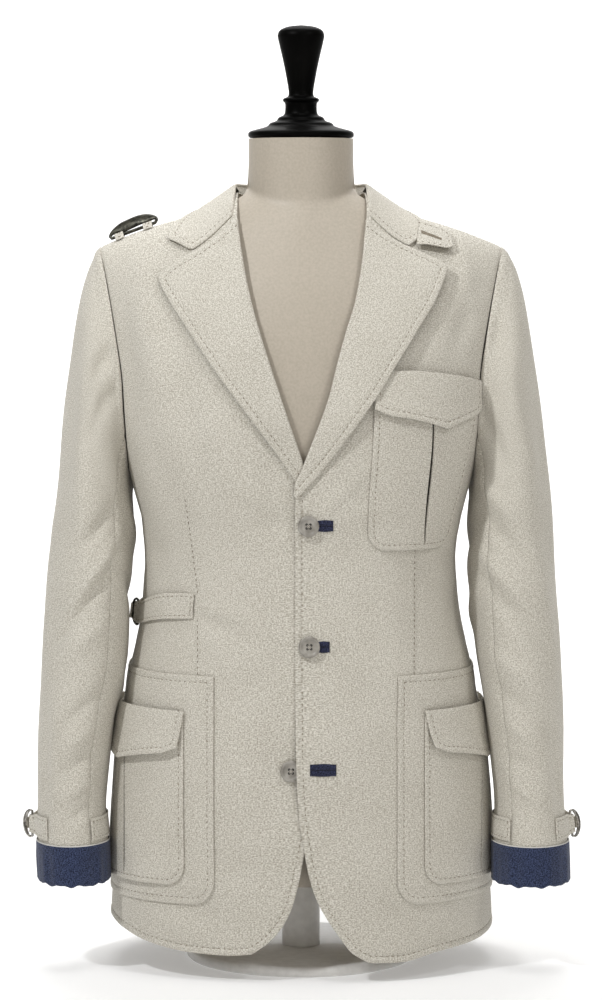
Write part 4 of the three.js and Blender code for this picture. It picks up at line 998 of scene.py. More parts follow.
def throat_tab():
    u = even_steps(36, 1.5, "high")[:, None]
    v = even_steps(20, 1.5, "low high")[None]
    x = mix(tab_at["high_x"](u), tab_at["low_x"](u), v)
    height = mix(tab_at["high_z"](u), tab_at["low_z"](u), v)
    climb = climb_of(x, height)
    rise = TAB_RISE + 2.6 * v**3 * smooth_step(0, 0.3, u) + 0 * x
    base = on_shoulder(x, climb, rise)
    border = np.concatenate([base[:, 0], base[-1], base[::-1, -1]])
    distance = border_distance(base, border)
    shed = rounding(distance, PATCH)
    edging = drawn_in(distance, TAB_STITCH, 0.3, 0.35)
    outer = on_shoulder(x, climb, rise + PATCH + edging - shed)
    piece = wall("throat_tab_cloth", outer, on_shoulder(x, climb, rise + shed))
    finish_cloth(piece, "throat_tab", base)
    stitch_along(outer, distance, TAB_STITCH)


throat_tab()

# %% [markdown]
# Sleeves. A sleeve is a tube of two pieces, top and under, that starts on the armhole's own
# curve and settles into ovals further down. Its folds gather in the bend of the elbow and
# below the sleeve head, different on each side.

# %% Sleeves
SLEEVE_LEFT = table("ring out_x out_z in_x in_z mid_y half_depth", [
    (0, 199, 701, 169.6, 468, 3.5, 61), (1, 208.5, 685, 168.8, 462, 3, 64),
    (2, 217, 660, 168, 456, 2, 67), (3, 223.5, 626, 167.2, 449, 0, 69.5),
    (4, 229.5, 580, 166.4, 440, -3, 71), (5, 236, 526, 166, 428, -7, 71.5),
    (6, 242, 464, 166.2, 408, -13, 70), (7, 247, 412, 167, 382, -19, 68),
    (8, 251.5, 362, 169, 350, -25, 65.5), (9, 256, 302, 171.5, 300, -32, 61.5),
    (10, 259.5, 228, 185.5, 228, -41, 56.5), (11, 261, 153, 192.6, 153, -50, 51.5),
    (12, 260, 118, 190.5, 118, -54, 50), (13, 258, 81, 189.5, 81, -57, 49),
])
SLEEVE_RIGHT = table("ring out_x out_z in_x in_z mid_y half_depth", [
    (0, 199, 701, 169.6, 468, 3.5, 61), (1, 210.5, 685, 168.8, 462, 3, 64),
    (2, 219, 660, 168, 456, 2, 67), (3, 226, 626, 167.2, 449, 0, 69.5),
    (4, 233, 580, 166.4, 440, -3, 71), (5, 240.5, 526, 165.6, 428, -7, 71.5),
    (6, 246.5, 464, 165, 408, -13, 70), (7, 250.5, 412, 165, 382, -19, 68),
    (8, 253.5, 362, 168, 350, -25, 65.5), (9, 257.5, 302, 172.5, 300, -32, 61.5),
    (10, 259, 228, 184.5, 228, -41, 56.5), (11, 260.5, 153, 191, 153, -51, 51.5),
    (12, 263, 118, 189.5, 118, -58, 50), (13, 264, 81, 189.5, 81, -61, 49),
])
SLEEVE_SEAM = 126
SEAM_AROUND = 0.25
SLEEVE_GAP = 0.8
FOLD_COLUMNS = "x0 z0 x1 z1 width height"
FOLDS_LEFT = table(FOLD_COLUMNS, [
    (62, 560, 84, 400, 15, 2.4), (100, 650, 66, 560, 9, -2.6), (118, 600, 78, 520, 10, -2.0),
    (34, 600, 44, 470, 14, -1.6), (128, 452, 66, 398, 9, -2.2), (132, 420, 74, 352, 8, 2.2),
    (134, 398, 60, 322, 8, -2.4), (112, 330, 52, 300, 10, 1.8), (20, 420, 30, 300, 14, 1.7),
    (120, 262, 60, 230, 8, -1.9), (122, 232, 66, 206, 8, 1.6), (126, 206, 58, 182, 7, -1.8),
    (120, 178, 66, 160, 6, 1.4), (124, 154, 80, 140, 6, -1.5), (40, 250, 46, 150, 10, -1.5),
    (-30, 620, -40, 440, 16, 1.8), (-60, 480, -20, 400, 12, -2.0), (-80, 420, -30, 350, 12, 1.9),
    (-90, 300, -40, 250, 11, -1.7), (-50, 220, -60, 150, 12, 1.4), (150, 440, 200, 400, 10, 1.6),
    (150, 380, 210, 340, 10, -1.8), (160, 280, 210, 240, 10, 1.5),
])
FOLDS_RIGHT = table(FOLD_COLUMNS, [
    (64, 650, 84, 560, 9, -2.6), (90, 620, 60, 500, 14, 2.3), (120, 560, 88, 470, 10, -1.9),
    (30, 560, 36, 430, 15, -1.7), (132, 470, 76, 430, 9, 2.0), (130, 440, 64, 388, 9, -2.4),
    (134, 400, 72, 350, 8, 2.0), (130, 372, 58, 318, 9, -2.2), (60, 400, 40, 300, 13, 1.8),
    (124, 300, 64, 272, 9, 1.7), (126, 270, 60, 238, 8, -2.0), (120, 236, 70, 214, 7, 1.6),
    (124, 204, 62, 190, 7, -1.7), (118, 176, 76, 158, 6, 1.3), (46, 220, 40, 140, 10, -1.4),
    (-36, 600, -30, 450, 15, 1.7), (-70, 470, -24, 392, 12, -2.1), (-86, 400, -40, 340, 11, 1.8),
    (-80, 290, -36, 230, 12, -1.6), (150, 430, 206, 392, 10, -1.7), (156, 360, 206, 320, 10, 1.6),
])


def armhole_point(around):
    height = mix(468, ridge_at(199), (1 + np.cos(np.radians(around))) / 2)
    turn = np.where(around <= 180, armhole_front(height), armhole_back(height))
    flat = half_width_at(height) * np.abs(across_at(turn))
    return wrapped(turn, climb_of(flat, height))


class Sleeve:
    """One sleeve as a surface: 0 round is its outer side, 90 in front, 180 beside the body"""

    def __init__(self, side, rings, folds, phase):
        self.side, self.folds, self.phase = side, folds, phase
        self.at = {key: curve(rings, "ring", key) for key in rings if key != "ring"}
        self.ring_at = curve({key: column[8:] for key, column in rings.items()}, "out_z", "ring")

    def oval(self, around, ring):
        share = (1 + np.cos(np.radians(around))) / 2
        x = mix(self.at["in_x"](ring), self.at["out_x"](ring), share)
        z = mix(self.at["in_z"](ring), self.at["out_z"](ring), share)
        y = self.at["mid_y"](ring) - self.at["half_depth"](ring) * np.sin(np.radians(around))
        return np.stack([x, y, z], -1)

    def surface(self, around, ring):
        around, ring = np.broadcast_arrays(np.asarray(around, float), np.asarray(ring, float))
        turned = np.mod(around, 360)
        fade = (1 - smooth_step(0, 3.5, ring)) ** 1.5
        start = self.oval(turned, 0 * ring)
        point = self.oval(turned, np.maximum(ring, 0)) + (armhole_point(turned) - start) * fade[..., None]
        point[..., 0] = self.side * (point[..., 0] + SLEEVE_GAP * (0.2 + 0.8 * smooth_step(0, 1.2, ring)))
        return point

    def place(self, around, ring, lift, folded=True):
        around, ring = np.broadcast_arrays(np.asarray(around, float), np.asarray(ring, float))
        ring = np.maximum(ring, 0.02)
        point = self.surface(around, ring)
        if folded:
            about = np.mod(around + 100, 360) - 100
            z = point[..., 2]
            relief = 1.25 * along_lines(self.folds, about, z) + 1.2 * unevenness(around, z, self.phase)
            fade = smooth_step(0.02, 0.9, ring) * smooth_step(108, 158, z)
            hem = 1 - smooth_step(108, 158, z)
            lift = lift + relief * (fade + 0.25 * hem)
        return point + normal_of(self.surface, around, ring) * (self.side * np.asarray(lift))[..., None]

    def low(self, around, height, lift):
        return self.place(around, self.ring_at(height), lift)


SLEEVE_SPACING = 3.2


def sleeve_piece(name, sleeve, first, last):
    rings = steps(lambda t: sleeve.oval(np.full(t.shape, 40.0), t), 0.02, 13, SLEEVE_SPACING)
    around = steps(lambda t: sleeve.surface(t, np.full(t.shape, 5.0)), first, last, SLEEVE_SPACING)
    a, r = around[None], rings[:, None]
    base = sleeve.place(a, r, 0 * (a + r), False)
    along, _ = runs(base)
    to_seam = np.minimum(along, along[:, -1:] - along)
    dip = -0.8 * np.exp(-((to_seam / 2.4) ** 2))
    head = 1.5 * np.exp(-(((r - 0.35) / 0.3) ** 2)) * (np.abs(np.mod(a + 180, 360) - 180) < 100)
    rise = dip + head
    outer = sleeve.place(a, r, rise)
    inside = sleeve.place(a, r, rise - CLOTH)
    middle = along[:, along.shape[1] // 2][:, None]
    piece = wall(name, outer, inside, chart=(along - middle, -base[..., 2]))
    finish_cloth(piece, name.replace("_cloth", ""), base)


left_sleeve = Sleeve(-1, SLEEVE_LEFT, FOLDS_LEFT, 0.4)
right_sleeve = Sleeve(1, SLEEVE_RIGHT, FOLDS_RIGHT, 2.1)
for word, sleeve in (("left", left_sleeve), ("right", right_sleeve)):
    sleeve_piece(f"sleeve_top_{word}_cloth", sleeve, -SLEEVE_SEAM + SEAM_AROUND, SLEEVE_SEAM - SEAM_AROUND)
    first_turn = SLEEVE_SEAM + SEAM_AROUND
    sleeve_piece(f"sleeve_under_{word}_cloth", sleeve, first_turn, 360 - first_turn)

# %% [markdown]
# The cuffs are the denim inside of the sleeve turned back over its end. One closed band goes
# down the outside, round the lower edge and a little way up inside.

# %% Cuffs
CUFF_TOP = 118
CUFF_BOTTOM = 78
CUFF_INSIDE = 90
SLEEVE_END = 81.1


def cuff(name, sleeve, phase):
    around = np.linspace(0, 360, 160, endpoint=False)
    outside, within = LAYER_GAP + PATCH, -CLOTH - LAYER_GAP
    height = np.concatenate([
        CUFF_TOP - np.array([0, 0.3, 1, 2.4]), np.linspace(CUFF_TOP - 4, CUFF_BOTTOM + 2.6, 14),
        CUFF_BOTTOM + np.array([1.2, 0.3, 0, 0, 0.3, 1.2]), np.linspace(CUFF_BOTTOM + 2.6, CUFF_INSIDE, 4),
    ])
    lift = np.concatenate([
        [outside - 0.9, outside - 0.4, outside, outside], np.full(14, outside),
        [outside, outside - 0.6, outside - 1.4, within + 0.4, within - 0.5, within - PATCH],
        np.full(4, within - PATCH),
    ])
    low = height < CUFF_BOTTOM + 2.4
    inner_height = np.where(low, CUFF_BOTTOM + 1.9, height)
    inner_lift = np.where(lift > 0, LAYER_GAP, within)
    turned_in = low & (lift > within) & (lift < outside - 0.3)
    inner_lift = np.where(turned_in, np.clip(lift, within + 0.3, LAYER_GAP - 0.1), inner_lift)
    pucker = 0.45 * np.sin(np.radians(around) * 11 + phase) + 0.3 * np.sin(np.radians(around) * 19 - phase)

    def net(heights, lifts):
        crumple = 1.1 * pucker * smooth_step(0, 20, CUFF_TOP - heights)[:, None] * (lifts > 0)[:, None]
        kept = np.maximum(heights, SLEEVE_END)[:, None]
        points = sleeve.low(around[None], kept, lifts[:, None] + crumple)
        wave = 2.0 * pucker * (1 - smooth_step(CUFF_BOTTOM, CUFF_BOTTOM + 18, heights))[:, None]
        points[..., 2] += np.minimum(heights - SLEEVE_END, 0)[:, None] + wave
        return points

    outer, inner = net(height, lift), net(inner_height, inner_lift)
    piece = wall(name, outer, inner, True)
    base = net(np.linspace(CUFF_TOP, SLEEVE_END, 10), np.full(10, outside))
    finish_cloth(piece, name.replace("_cloth", ""), base,
                 DENIM)


cuff("cuff_left_cloth", left_sleeve, 0.3)
cuff("cuff_right_cloth", right_sleeve, 1.9)

# %% [markdown]
# Pockets. Each lower pocket is a flat patch with a smaller bellows patch on it, and a pointed
# flap over both. The chest pocket has one patch. A pleat down the bellows opens as a slit, its
# inner faces darkened with painted shade.

# %% Patches and flaps
PATCH_SPACING = 2.8
FLAP_SPACING = 2.0
FLAP_STITCH = 5.5


def corner_inset(radius, height):
    drop = np.maximum(radius - height, 0)
    return radius - np.sqrt(np.maximum(radius**2 - drop**2, 0))


def degree_length(turn, height):
    climb = climb_of(half_width_at(height) * np.abs(across_at(turn)), height)
    return np.linalg.norm(wrapped(turn + 0.5, climb) - wrapped(turn - 0.5, climb), axis=-1)


def on_side(side, turn, height, lift):
    x = half_width_at(height) * np.abs(across_at(turn))
    return on_trunk(side * turn, climb_of(x, height), lift)


def patch_columns(width, pleat):
    u = even_steps(width, PATCH_SPACING, "low high")
    if pleat is None:
        return u, np.zeros(len(u), int)
    left, right = 0.44, 0.56
    slot = np.array([0.44, 0.447, 0.455, 0.545, 0.553, 0.56])
    low, high = u[u < left - 0.012], u[u > right + 0.012]
    kinds = np.concatenate([np.zeros(len(low), int), np.arange(1, 7), np.zeros(len(high), int)])
    return np.concatenate([low, slot, high]), kinds


def patch(name, side, spec):
    top, bottom = spec["top"], spec["bottom"]
    rows = even_steps(top - bottom, PATCH_SPACING, "low high")
    heights = mix(top, bottom, rows)[:, None]
    u, kinds = patch_columns(spec["width"], spec.get("pleat"))
    inner, outer_turn = spec["inner"](heights), spec["outer"](heights)
    inset = corner_inset(spec["radius"], heights - bottom)
    first = inner + inset / degree_length(inner, heights)
    last = outer_turn - inset / degree_length(outer_turn, heights)
    turn = mix(first, last, u[None])
    channel = np.zeros(turn.shape)
    if spec.get("pleat"):
        pleat = spec["pleat"]
        centre = pleat["turn"](heights)
        fade = smooth_step(0, pleat["fade"], heights - bottom)
        half = pleat["width"](heights) * (0.25 + 0.75 * fade) / degree_length(centre, heights)
        left, right = 0.44, 0.56
        before, after = (u < left)[None], (u > right)[None]
        turn = np.where(before, mix(first, centre - half, u[None] / left), turn)
        turn = np.where(after, mix(centre + half, last, (u[None] - right) / (1 - right)), turn)
        shares = np.array([0, -1, -0.86, -0.74, 0.74, 0.86, 1])
        depths = np.array([0, 0, 0.35, 1, 1, 0.35, 0])
        inside = (kinds > 0)[None]
        turn = np.where(inside, centre + shares[kinds][None] * half, turn)
        channel = np.where(inside, depths[kinds][None] * pleat["depth"] * fade, 0)
    lift = spec["lift"] + spec["bulge"] * np.sin(np.pi * u)[None] + 0 * turn
    climb = climb_of(half_width_at(heights) * np.abs(across_at(turn)), heights)
    base = wrapped(side * turn, climb)
    border = np.concatenate([base[:, 0], base[-1], base[::-1, -1], base[0, ::-1]])
    distance = border_distance(base, border)
    edging = drawn_in(distance, spec["stitch"], 0.35, 0.45) * (kinds == 0)[None]
    shed = rounding(distance, PATCH)
    outer = on_side(side, turn, heights, lift + PATCH + edging - shed - channel)
    inside_net = on_side(side, turn, heights, lift + 0.3 * edging + shed - channel)
    piece = wall(name, outer, inside_net)
    finish_cloth(piece, name.replace("_cloth", ""), base)
    if spec.get("pleat"):
        # The faces deep in the pleat channel take the painted shade, a darker copy of the cloth
        piece.data.materials.append(PLEAT_SHADE)
        row, column = np.divmod(np.arange((len(rows) - 1) * (len(u) - 1)), len(u) - 1)
        painted_shade_faces = (kinds[column] > 1) & (kinds[column + 1] > 1) & (kinds[column] < 6) & (kinds[column + 1] < 6)
        painted_shade_faces &= (heights[row, 0] - bottom > 0.4 * spec["pleat"]["fade"]) & (heights[row, 0] < top - 4)
        for index in np.flatnonzero(painted_shade_faces):
            piece.data.polygons[int(index)].material_index = 1
    stitch_along(outer, distance, spec["stitch"])
    return outer, distance


def flap(name, side, spec):
    u = even_steps(spec["width"], FLAP_SPACING, "low high")[None]
    v = even_steps(48, FLAP_SPACING, "high")[:, None]
    peak_at = spec["peak"]
    reach = np.where(u < peak_at, peak_at, 1 - peak_at)
    peak = 1 - np.abs((u - peak_at) / reach)
    corner = 5 * (np.maximum(0, 0.09 - u) + np.maximum(0, u - 0.91)) / 0.09
    low = spec["low"] - spec["drop"] * peak**1.45 + corner
    height = mix(spec["high"](u), low, v)
    inner = spec["inner"](height)
    turn = mix(inner + spec["taper"] * v / degree_length(inner, height), spec["outer"](height), u)
    swell = (spec["bulge"] + 1.2 * np.sin(np.pi * np.minimum(v, 0.8))) * np.sin(np.pi * u) ** 0.7
    curl = spec["curl"] * smooth_step(0.55, 1, v) * np.sin(np.pi * np.clip(u, 0.02, 0.98)) ** 0.5
    lift = spec["lift"] + swell + curl + spec["loose"] * (1 - u) ** 2 * v**2
    climb = climb_of(half_width_at(height) * np.abs(across_at(turn)), height)
    base = wrapped(side * turn, climb)
    border = np.concatenate([base[:, 0], base[-1], base[::-1, -1]])
    distance = border_distance(base, border)
    edging = drawn_in(distance, FLAP_STITCH, 0.4, 0.45)
    top_distance = border_distance(base, base[0])
    edging = edging - 0.9 * np.exp(-((top_distance / 1.6) ** 2))
    shed = rounding(distance, PATCH)
    outer = on_side(side, turn, height, lift + PATCH + edging - shed)
    inside = on_side(side, turn, height, lift + 0.3 * edging + shed)
    finish_cloth(wall(name, outer, inside), name.replace("_cloth", ""), base)
    stitch_along(outer, distance, FLAP_STITCH)


# %% Pockets on the body
LIFT_OUTER = LAYER_GAP
LIFT_INNER = LIFT_OUTER + PATCH + LAYER_GAP
LIFT_FLAP = LIFT_INNER + PATCH + LAYER_GAP


def lower_pocket(word, side, x):
    edge_turn = lambda distance: lambda height: turn_of(distance + 0 * height, height)
    patch(f"pocket_outer_{word}_cloth", side, {
        "inner": edge_turn(x["outer"]), "outer": lambda h: 104 + 0 * h, "top": 287, "bottom": 64,
        "radius": 24, "width": 175, "lift": LIFT_OUTER, "bulge": 0, "stitch": STITCH_IN,
    })
    patch(f"pocket_inner_{word}_cloth", side, {
        "inner": edge_turn(x["inner"]), "outer": lambda h: 97 + 0 * h, "top": 247, "bottom": 82,
        "radius": 20, "width": 140, "lift": LIFT_INNER, "bulge": 3.2, "stitch": 5.0,
        "pleat": {"turn": edge_turn(x["pleat"]), "depth": 3.9, "fade": 20,
                  "width": lambda h: mix(1.5, 1.1, smooth_step(110, 200, h))},
    })
    flap(f"pocket_flap_{word}_cloth", side, {
        "inner": edge_turn(x["inner"] - 1.5), "outer": lambda h: 99 + 0 * h, "lift": LIFT_FLAP,
        "bulge": 3.2, "drop": 13, "peak": x["peak"], "high": lambda u: 252 + 0 * u, "low": 211.5,
        "width": 145, "curl": 2.4, "loose": 4.5, "taper": x["taper"],
    })


lower_pocket("left", -1, {"outer": 84.4, "inner": 113, "pleat": 168, "peak": 0.5, "taper": 5.5})
lower_pocket("right", 1, {"outer": 93.2, "inner": 119, "pleat": 172.5, "peak": 0.53, "taper": 9})
patch("pocket_chest_cloth", 1, {
    "inner": lambda h: turn_of(mix(64.5, 70, smooth_step(430, 541, h)), h),
    "outer": lambda h: armhole_front(np.maximum(h, 535)) - 3.4 + 1.6 * (1 - smooth_step(420, 520, h)),
    "top": 572, "bottom": 409, "radius": 19, "width": 104, "lift": LIFT_OUTER, "bulge": 3.0, "stitch": 5.5,
    "pleat": {"turn": lambda h: turn_of(mix(117.5, 126, smooth_step(410, 530, h)), h),
              "depth": 3.4, "fade": 18,
              "width": lambda h: 1.0 + 0.6 * np.exp(-(((h - 470) / 34) ** 2))},
})
flap("pocket_chest_flap_cloth", 1, {
    "inner": lambda h: turn_of(70 + 0 * h, h), "outer": lambda h: armhole_front(h) - 1.5,
    "lift": LIFT_INNER, "bulge": 3.0, "drop": 14, "peak": 0.53, "width": 108, "curl": 2.6, "loose": 2.6,
    "taper": 0,
    "high": lambda u: 582.5 - 11 * (np.maximum(u - 0.25, 0) / 0.75) ** 1.3, "low": 541,
})

# %% [markdown]
# Straps and tabs. A tab is sewn to the body or sleeve, passes over a ring's bar, and the strap
# from behind comes up through the ring's bow.

# %% Waist adjuster, cuff straps and tabs
WAIST_TAB = table("turn high low rise", [
    (37.5, 366, 341.5, 0), (45, 365.6, 340.3, 0.9), (53, 364.3, 338.8, 1.5), (62, 360.5, 335.8, 1.4),
    (71, 355.5, 332, 0.8), (79, 352, 329, 0.5), (83.6, 350.6, 327.6, 2), (85.7, 347, 329, 5),
    (86.9, 347, 329, 5), (87.7, 347, 329, 1.6),
])
WAIST_STRAP = table("turn high low rise", [
    (87.9, 345, 331, 8.6), (88.6, 346, 330, 8.9), (89.6, 346.5, 329.5, 7.6), (90.8, 347, 329, 4.6),
    (92.2, 348, 328, 2.0),
    (95, 349.5, 326, 0.2), (103, 349.5, 325.5, 0), (111, 349, 325.5, 0), (119.5, 349, 325, 0),
    (128, 349, 325, 0),
])
CUFF_TAB = table("around rise half", [
    (-4.5, 2.6, 8.4), (0, 6.5, 8.4), (4, 6.5, 8.4), (9, 1.8, 9.6), (15, 0, 11), (21, 0, 11), (42, 0, 11),
    (52, 0, 11),
])
CUFF_STRAP = table("around rise half", [
    (126.25, 0, 11), (180, 0, 11), (234, 0, 11), (297, 0, 11), (339, 0, 11), (346, 2.6, 9),
    (351, 6.2, 6.5), (356, 8.6, 5.5), (358.5, 9.2, 5.5),
])


def strip(name, place, keys, run, width, fine="low high"):
    """A band of cloth with a row of stitches inside its edges; place gives a point and a lift"""
    t = steps(run, keys[0], keys[-1], 1.6, fine)[:, None]
    v = even_steps(width, 1.6, "low high")[None]
    base = place(t, v, 0 * (t + v))
    border = np.concatenate([base[:, 0], base[-1], base[::-1, -1], base[0, ::-1]])
    distance = border_distance(base, border)
    shed = rounding(distance, PATCH)
    outer = place(t, v, PATCH + drawn_in(distance, 3.2, 0.25, 0.3) - shed)
    finish_cloth(wall(name, outer, place(t, v, shed)), name.replace("_cloth", ""), base)
    stitch_along(outer, distance, 3.2)


def belt_strip(name, rows):
    high, low, rise = (curve(rows, "turn", key) for key in ("high", "low", "rise"))
    rumple = lambda t, v: 0.5 * np.sin(t / 2.6) * np.sin(np.pi * v)

    def place(t, v, lift):
        height = mix(high(t), low(t), v)
        return on_trunk(-t, height - ARMPIT, LAYER_GAP + rise(t) + rumple(t, v) + lift)

    strip(name, place, rows["turn"], lambda t: wrapped(-t, -125.0), 23)


belt_strip("waist_tab_cloth", WAIST_TAB)
belt_strip("waist_strap_cloth", WAIST_STRAP)

STRAP_MIDDLE = 132.5


def cuff_strip(name, sleeve, rows):
    rise, half = (curve(rows, "around", key) for key in ("rise", "half"))

    def place(t, v, lift):
        height = STRAP_MIDDLE + half(t) * (1 - 2 * v)
        return sleeve.low(t, height, LAYER_GAP + rise(t) + lift)

    strip(name, place, rows["around"], lambda t: sleeve.surface(t, 11.6 + 0 * t), 22)


for word, sleeve in (("left", left_sleeve), ("right", right_sleeve)):
    cuff_strip(f"cuff_tab_{word}_cloth", sleeve, CUFF_TAB)
    cuff_strip(f"cuff_strap_{word}_cloth", sleeve, CUFF_STRAP)

LOOP_ARC = table("climb rise", [(83, 0.5), (85.6, 2.3), (87.4, 4.9), (89, 4.9), (90.8, 2.3), (93, 0.3)])
for word, middle, half in (("outer", -179.5, 4.2), ("inner", -151.5, 4.5)):
    arc_rise = curve(LOOP_ARC, "climb", "rise")
    place_loop = lambda t, v, lift, middle=middle, half=half: on_shoulder(
        middle + half * (2 * v - 1), t, arc_rise(t) + lift)
    strip(f"shoulder_loop_{word}_cloth", place_loop, LOOP_ARC["climb"],
          lambda t, middle=middle: laid(middle + 0 * t, t), 8.6)

# %% [markdown]
# Rings are bent wire: a straight bar closed by a half oval. A tube is swept round the closed
# line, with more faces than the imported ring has.

# %% Rings
def tube_round(name, line, radius, up, sides=12, widths=None):
    """A closed tube along a closed line of points"""
    ahead = unit(np.roll(line, -1, 0) - np.roll(line, 1, 0))
    side = unit(np.cross(ahead, up))
    rise = np.cross(side, ahead)
    angle = np.linspace(0, 2 * np.pi, sides, endpoint=False)
    wide = np.full(len(line), radius) if widths is None else widths
    ring = line[:, None] + side[:, None] * np.cos(angle)[None, :, None] * wide[:, None, None]
    ring = ring + radius * rise[:, None] * np.sin(angle)[None, :, None]
    count = len(line)
    index = np.arange(count * sides).reshape(count, sides)
    a, b = index, np.roll(index, -1, 1)
    c, d = np.roll(b, -1, 0), np.roll(a, -1, 0)
    faces = np.stack([a, b, c, d], -1).reshape(-1, 4)
    points = ring.reshape(-1, 3)
    p = points[faces]
    across = np.cross(p[:, 1] - p[:, 0], p[:, 2] - p[:, 0])
    if np.einsum("ij,ij->i", p[:, 0] - p.mean((0, 1)), across).sum() < 0:
        faces = faces[:, ::-1]
    points[:, 2] += RAISE
    mesh = bpy.data.meshes.new(name)
    mesh.from_pydata((points / 1000).tolist(), [], faces.tolist())
    mesh.polygons.foreach_set("use_smooth", np.ones(len(faces), bool))
    made = bpy.data.objects.new(name, mesh)
    bpy.context.scene.collection.objects.link(made)
    return made


def ring_line(centre, bar, bow, half_bar, reach):
    spots = [(share, 0) for share in np.linspace(-0.94, 0.94, 9)]
    for angle in np.linspace(0, np.pi, 27):
        spots.append((math.cos(angle), 0.18 + 0.82 * math.sin(angle)))
    bar, bow = np.array(bar), np.array(bow)
    return np.array([centre + bar * (a * half_bar) + bow * (b * reach) for a, b in spots])


def metal_ring(name, node, line, up, radius, arch_width=0.0, finish=None):
    """A bent wire ring; with an arch width, the arch is hammered out flat towards the bar"""
    widths = np.full(len(line), radius)
    if arch_width:
        share = np.linspace(0, 1, len(line) - 9)
        crown = smooth_step(0.04, 0.3, share) * (1 - smooth_step(0.7, 0.96, share))
        widths[9:] = mix(radius, arch_width, crown)
        inward = unit(line[4] - line[9:])
        line = line.copy()
        line[9:] += inward * (widths[9:] - radius)[:, None]
    tube = tube_round(name, line, radius, np.array(up), widths=widths)
    finish_piece(tube, node, finish or DARK_METAL)


at_waist = on_trunk(np.array(-86.3), np.array(338.0 - ARMPIT), np.array(3.4))
metal_ring("waist_ring_metal", "waist_ring",
           ring_line(at_waist, (0, 0, 1), (-0.5, 0.866, 0), 13, 12), (-0.866, -0.5, 0), 1.25)
for word, sleeve in (("left", left_sleeve), ("right", right_sleeve)):
    seat = sleeve.low(np.array(2.0), np.array(STRAP_MIDDLE), np.array(5.2))
    bar = unit(sleeve.low(np.array(2.0), np.array(STRAP_MIDDLE + 12.0), np.array(5.2)) - seat)
    bow = unit(np.array([sleeve.side * 0.85, 0.5, 0]))
    line = ring_line(seat, bar, bow, 13, 10)
    flat_way = unit(np.array([-sleeve.side * 0.5, 0.85, 0]))
    metal_ring(f"cuff_ring_{word}_metal", f"cuff_ring_{word}", line, flat_way, 1.3, 2.2, WORN_METAL)

ring_ends = [on_shoulder(np.array(x), np.array(88.0), np.array(2.2)) for x in (-190.0, -142.0)]
ring_bar = unit(ring_ends[1] - ring_ends[0])
ring_middle = (ring_ends[0] + ring_ends[1]) / 2 + np.array([0, 0, 1.2])
metal_ring("shoulder_ring_metal", "shoulder_ring",
           ring_line(ring_middle, ring_bar, (0, 0.62, 0.78), 24.5, 15.2), (0.1, -0.78, 0.62), 1.7, 6.2)
print("rings made")

# %% [markdown]
# Buttons have a dished face, a rounded rim and four holes with crossed thread. The disc is
# turned as rings of points, and each hole is a near-black disc of painted shade set in the dish.

# %% Buttons
def turned_net(profile, segments):
    angle = np.linspace(0, 2 * np.pi, segments, endpoint=False)
    profile = np.array(profile, float)
    ring = np.stack([np.cos(angle), np.sin(angle)], -1)
    flat = profile[:, :1, None] * ring[None]
    return np.concatenate([flat, np.broadcast_to(profile[:, 1][:, None, None], flat.shape[:2] + (1,))], -1)


def turned_mesh(name, profile, segments, place):
    """A turned solid from a closed profile of radius and height; place moves the points"""
    net = turned_net(profile, segments)
    rows, columns = net.shape[:2]
    index = np.arange(rows * columns).reshape(rows, columns)
    a, b = index[:-1], np.roll(index, -1, 1)[:-1]
    c, d = np.roll(index, -1, 1)[1:], index[1:]
    faces = np.stack([a, b, c, d], -1).reshape(-1, 4).tolist()
    points = net.reshape(-1, 3)
    faces.append(index[0][::-1].tolist())
    faces.append(index[-1].tolist())
    moved = place(points)
    moved[:, 2] += RAISE
    mesh = bpy.data.meshes.new(name)
    mesh.from_pydata((moved / 1000).tolist(), [], faces)
    mesh.polygons.foreach_set("use_smooth", np.ones(len(faces), bool))
    mesh.set_sharp_from_angle(angle=math.radians(50))
    made = bpy.data.objects.new(name, mesh)
    bpy.context.scene.collection.objects.link(made)
    return made


def seat_frame(x, height, lift):
    """Where a button sits: a function that moves flat points onto the front, facing out"""
    turn, climb = turn_of(np.array(float(x)), np.array(float(height))), np.array(height - float(ARMPIT))
    seat, out = on_trunk(turn, climb, np.array(float(lift))), normal_of(wrapped, turn, climb, 90)
    right = unit(np.cross(np.array([0, 0, 1.0]), out)) * -1
    right = right * np.sign(right[0])
    upward = unit(np.cross(out, right))
    upward = upward * np.sign(upward[2])
    return lambda points: seat + points[:, :1] * right + points[:, 1:2] * upward + points[:, 2:] * out


BUTTON_PROFILE = [
    (0.2, 0.3), (6.5, 0.3), (8.8, 0.6), (10.1, 1.3), (10.4, 2.0), (10.2, 2.7), (9.5, 3.15), (8.6, 3.2),
    (7.7, 2.95), (7.2, 2.45), (6.9, 2.15), (4.5, 2.0), (0.2, 1.95),
]
HOLE_PROFILE = [(0.05, 1.7), (1.15, 1.7), (1.3, 2.02), (1.15, 2.14), (0.05, 2.15)]


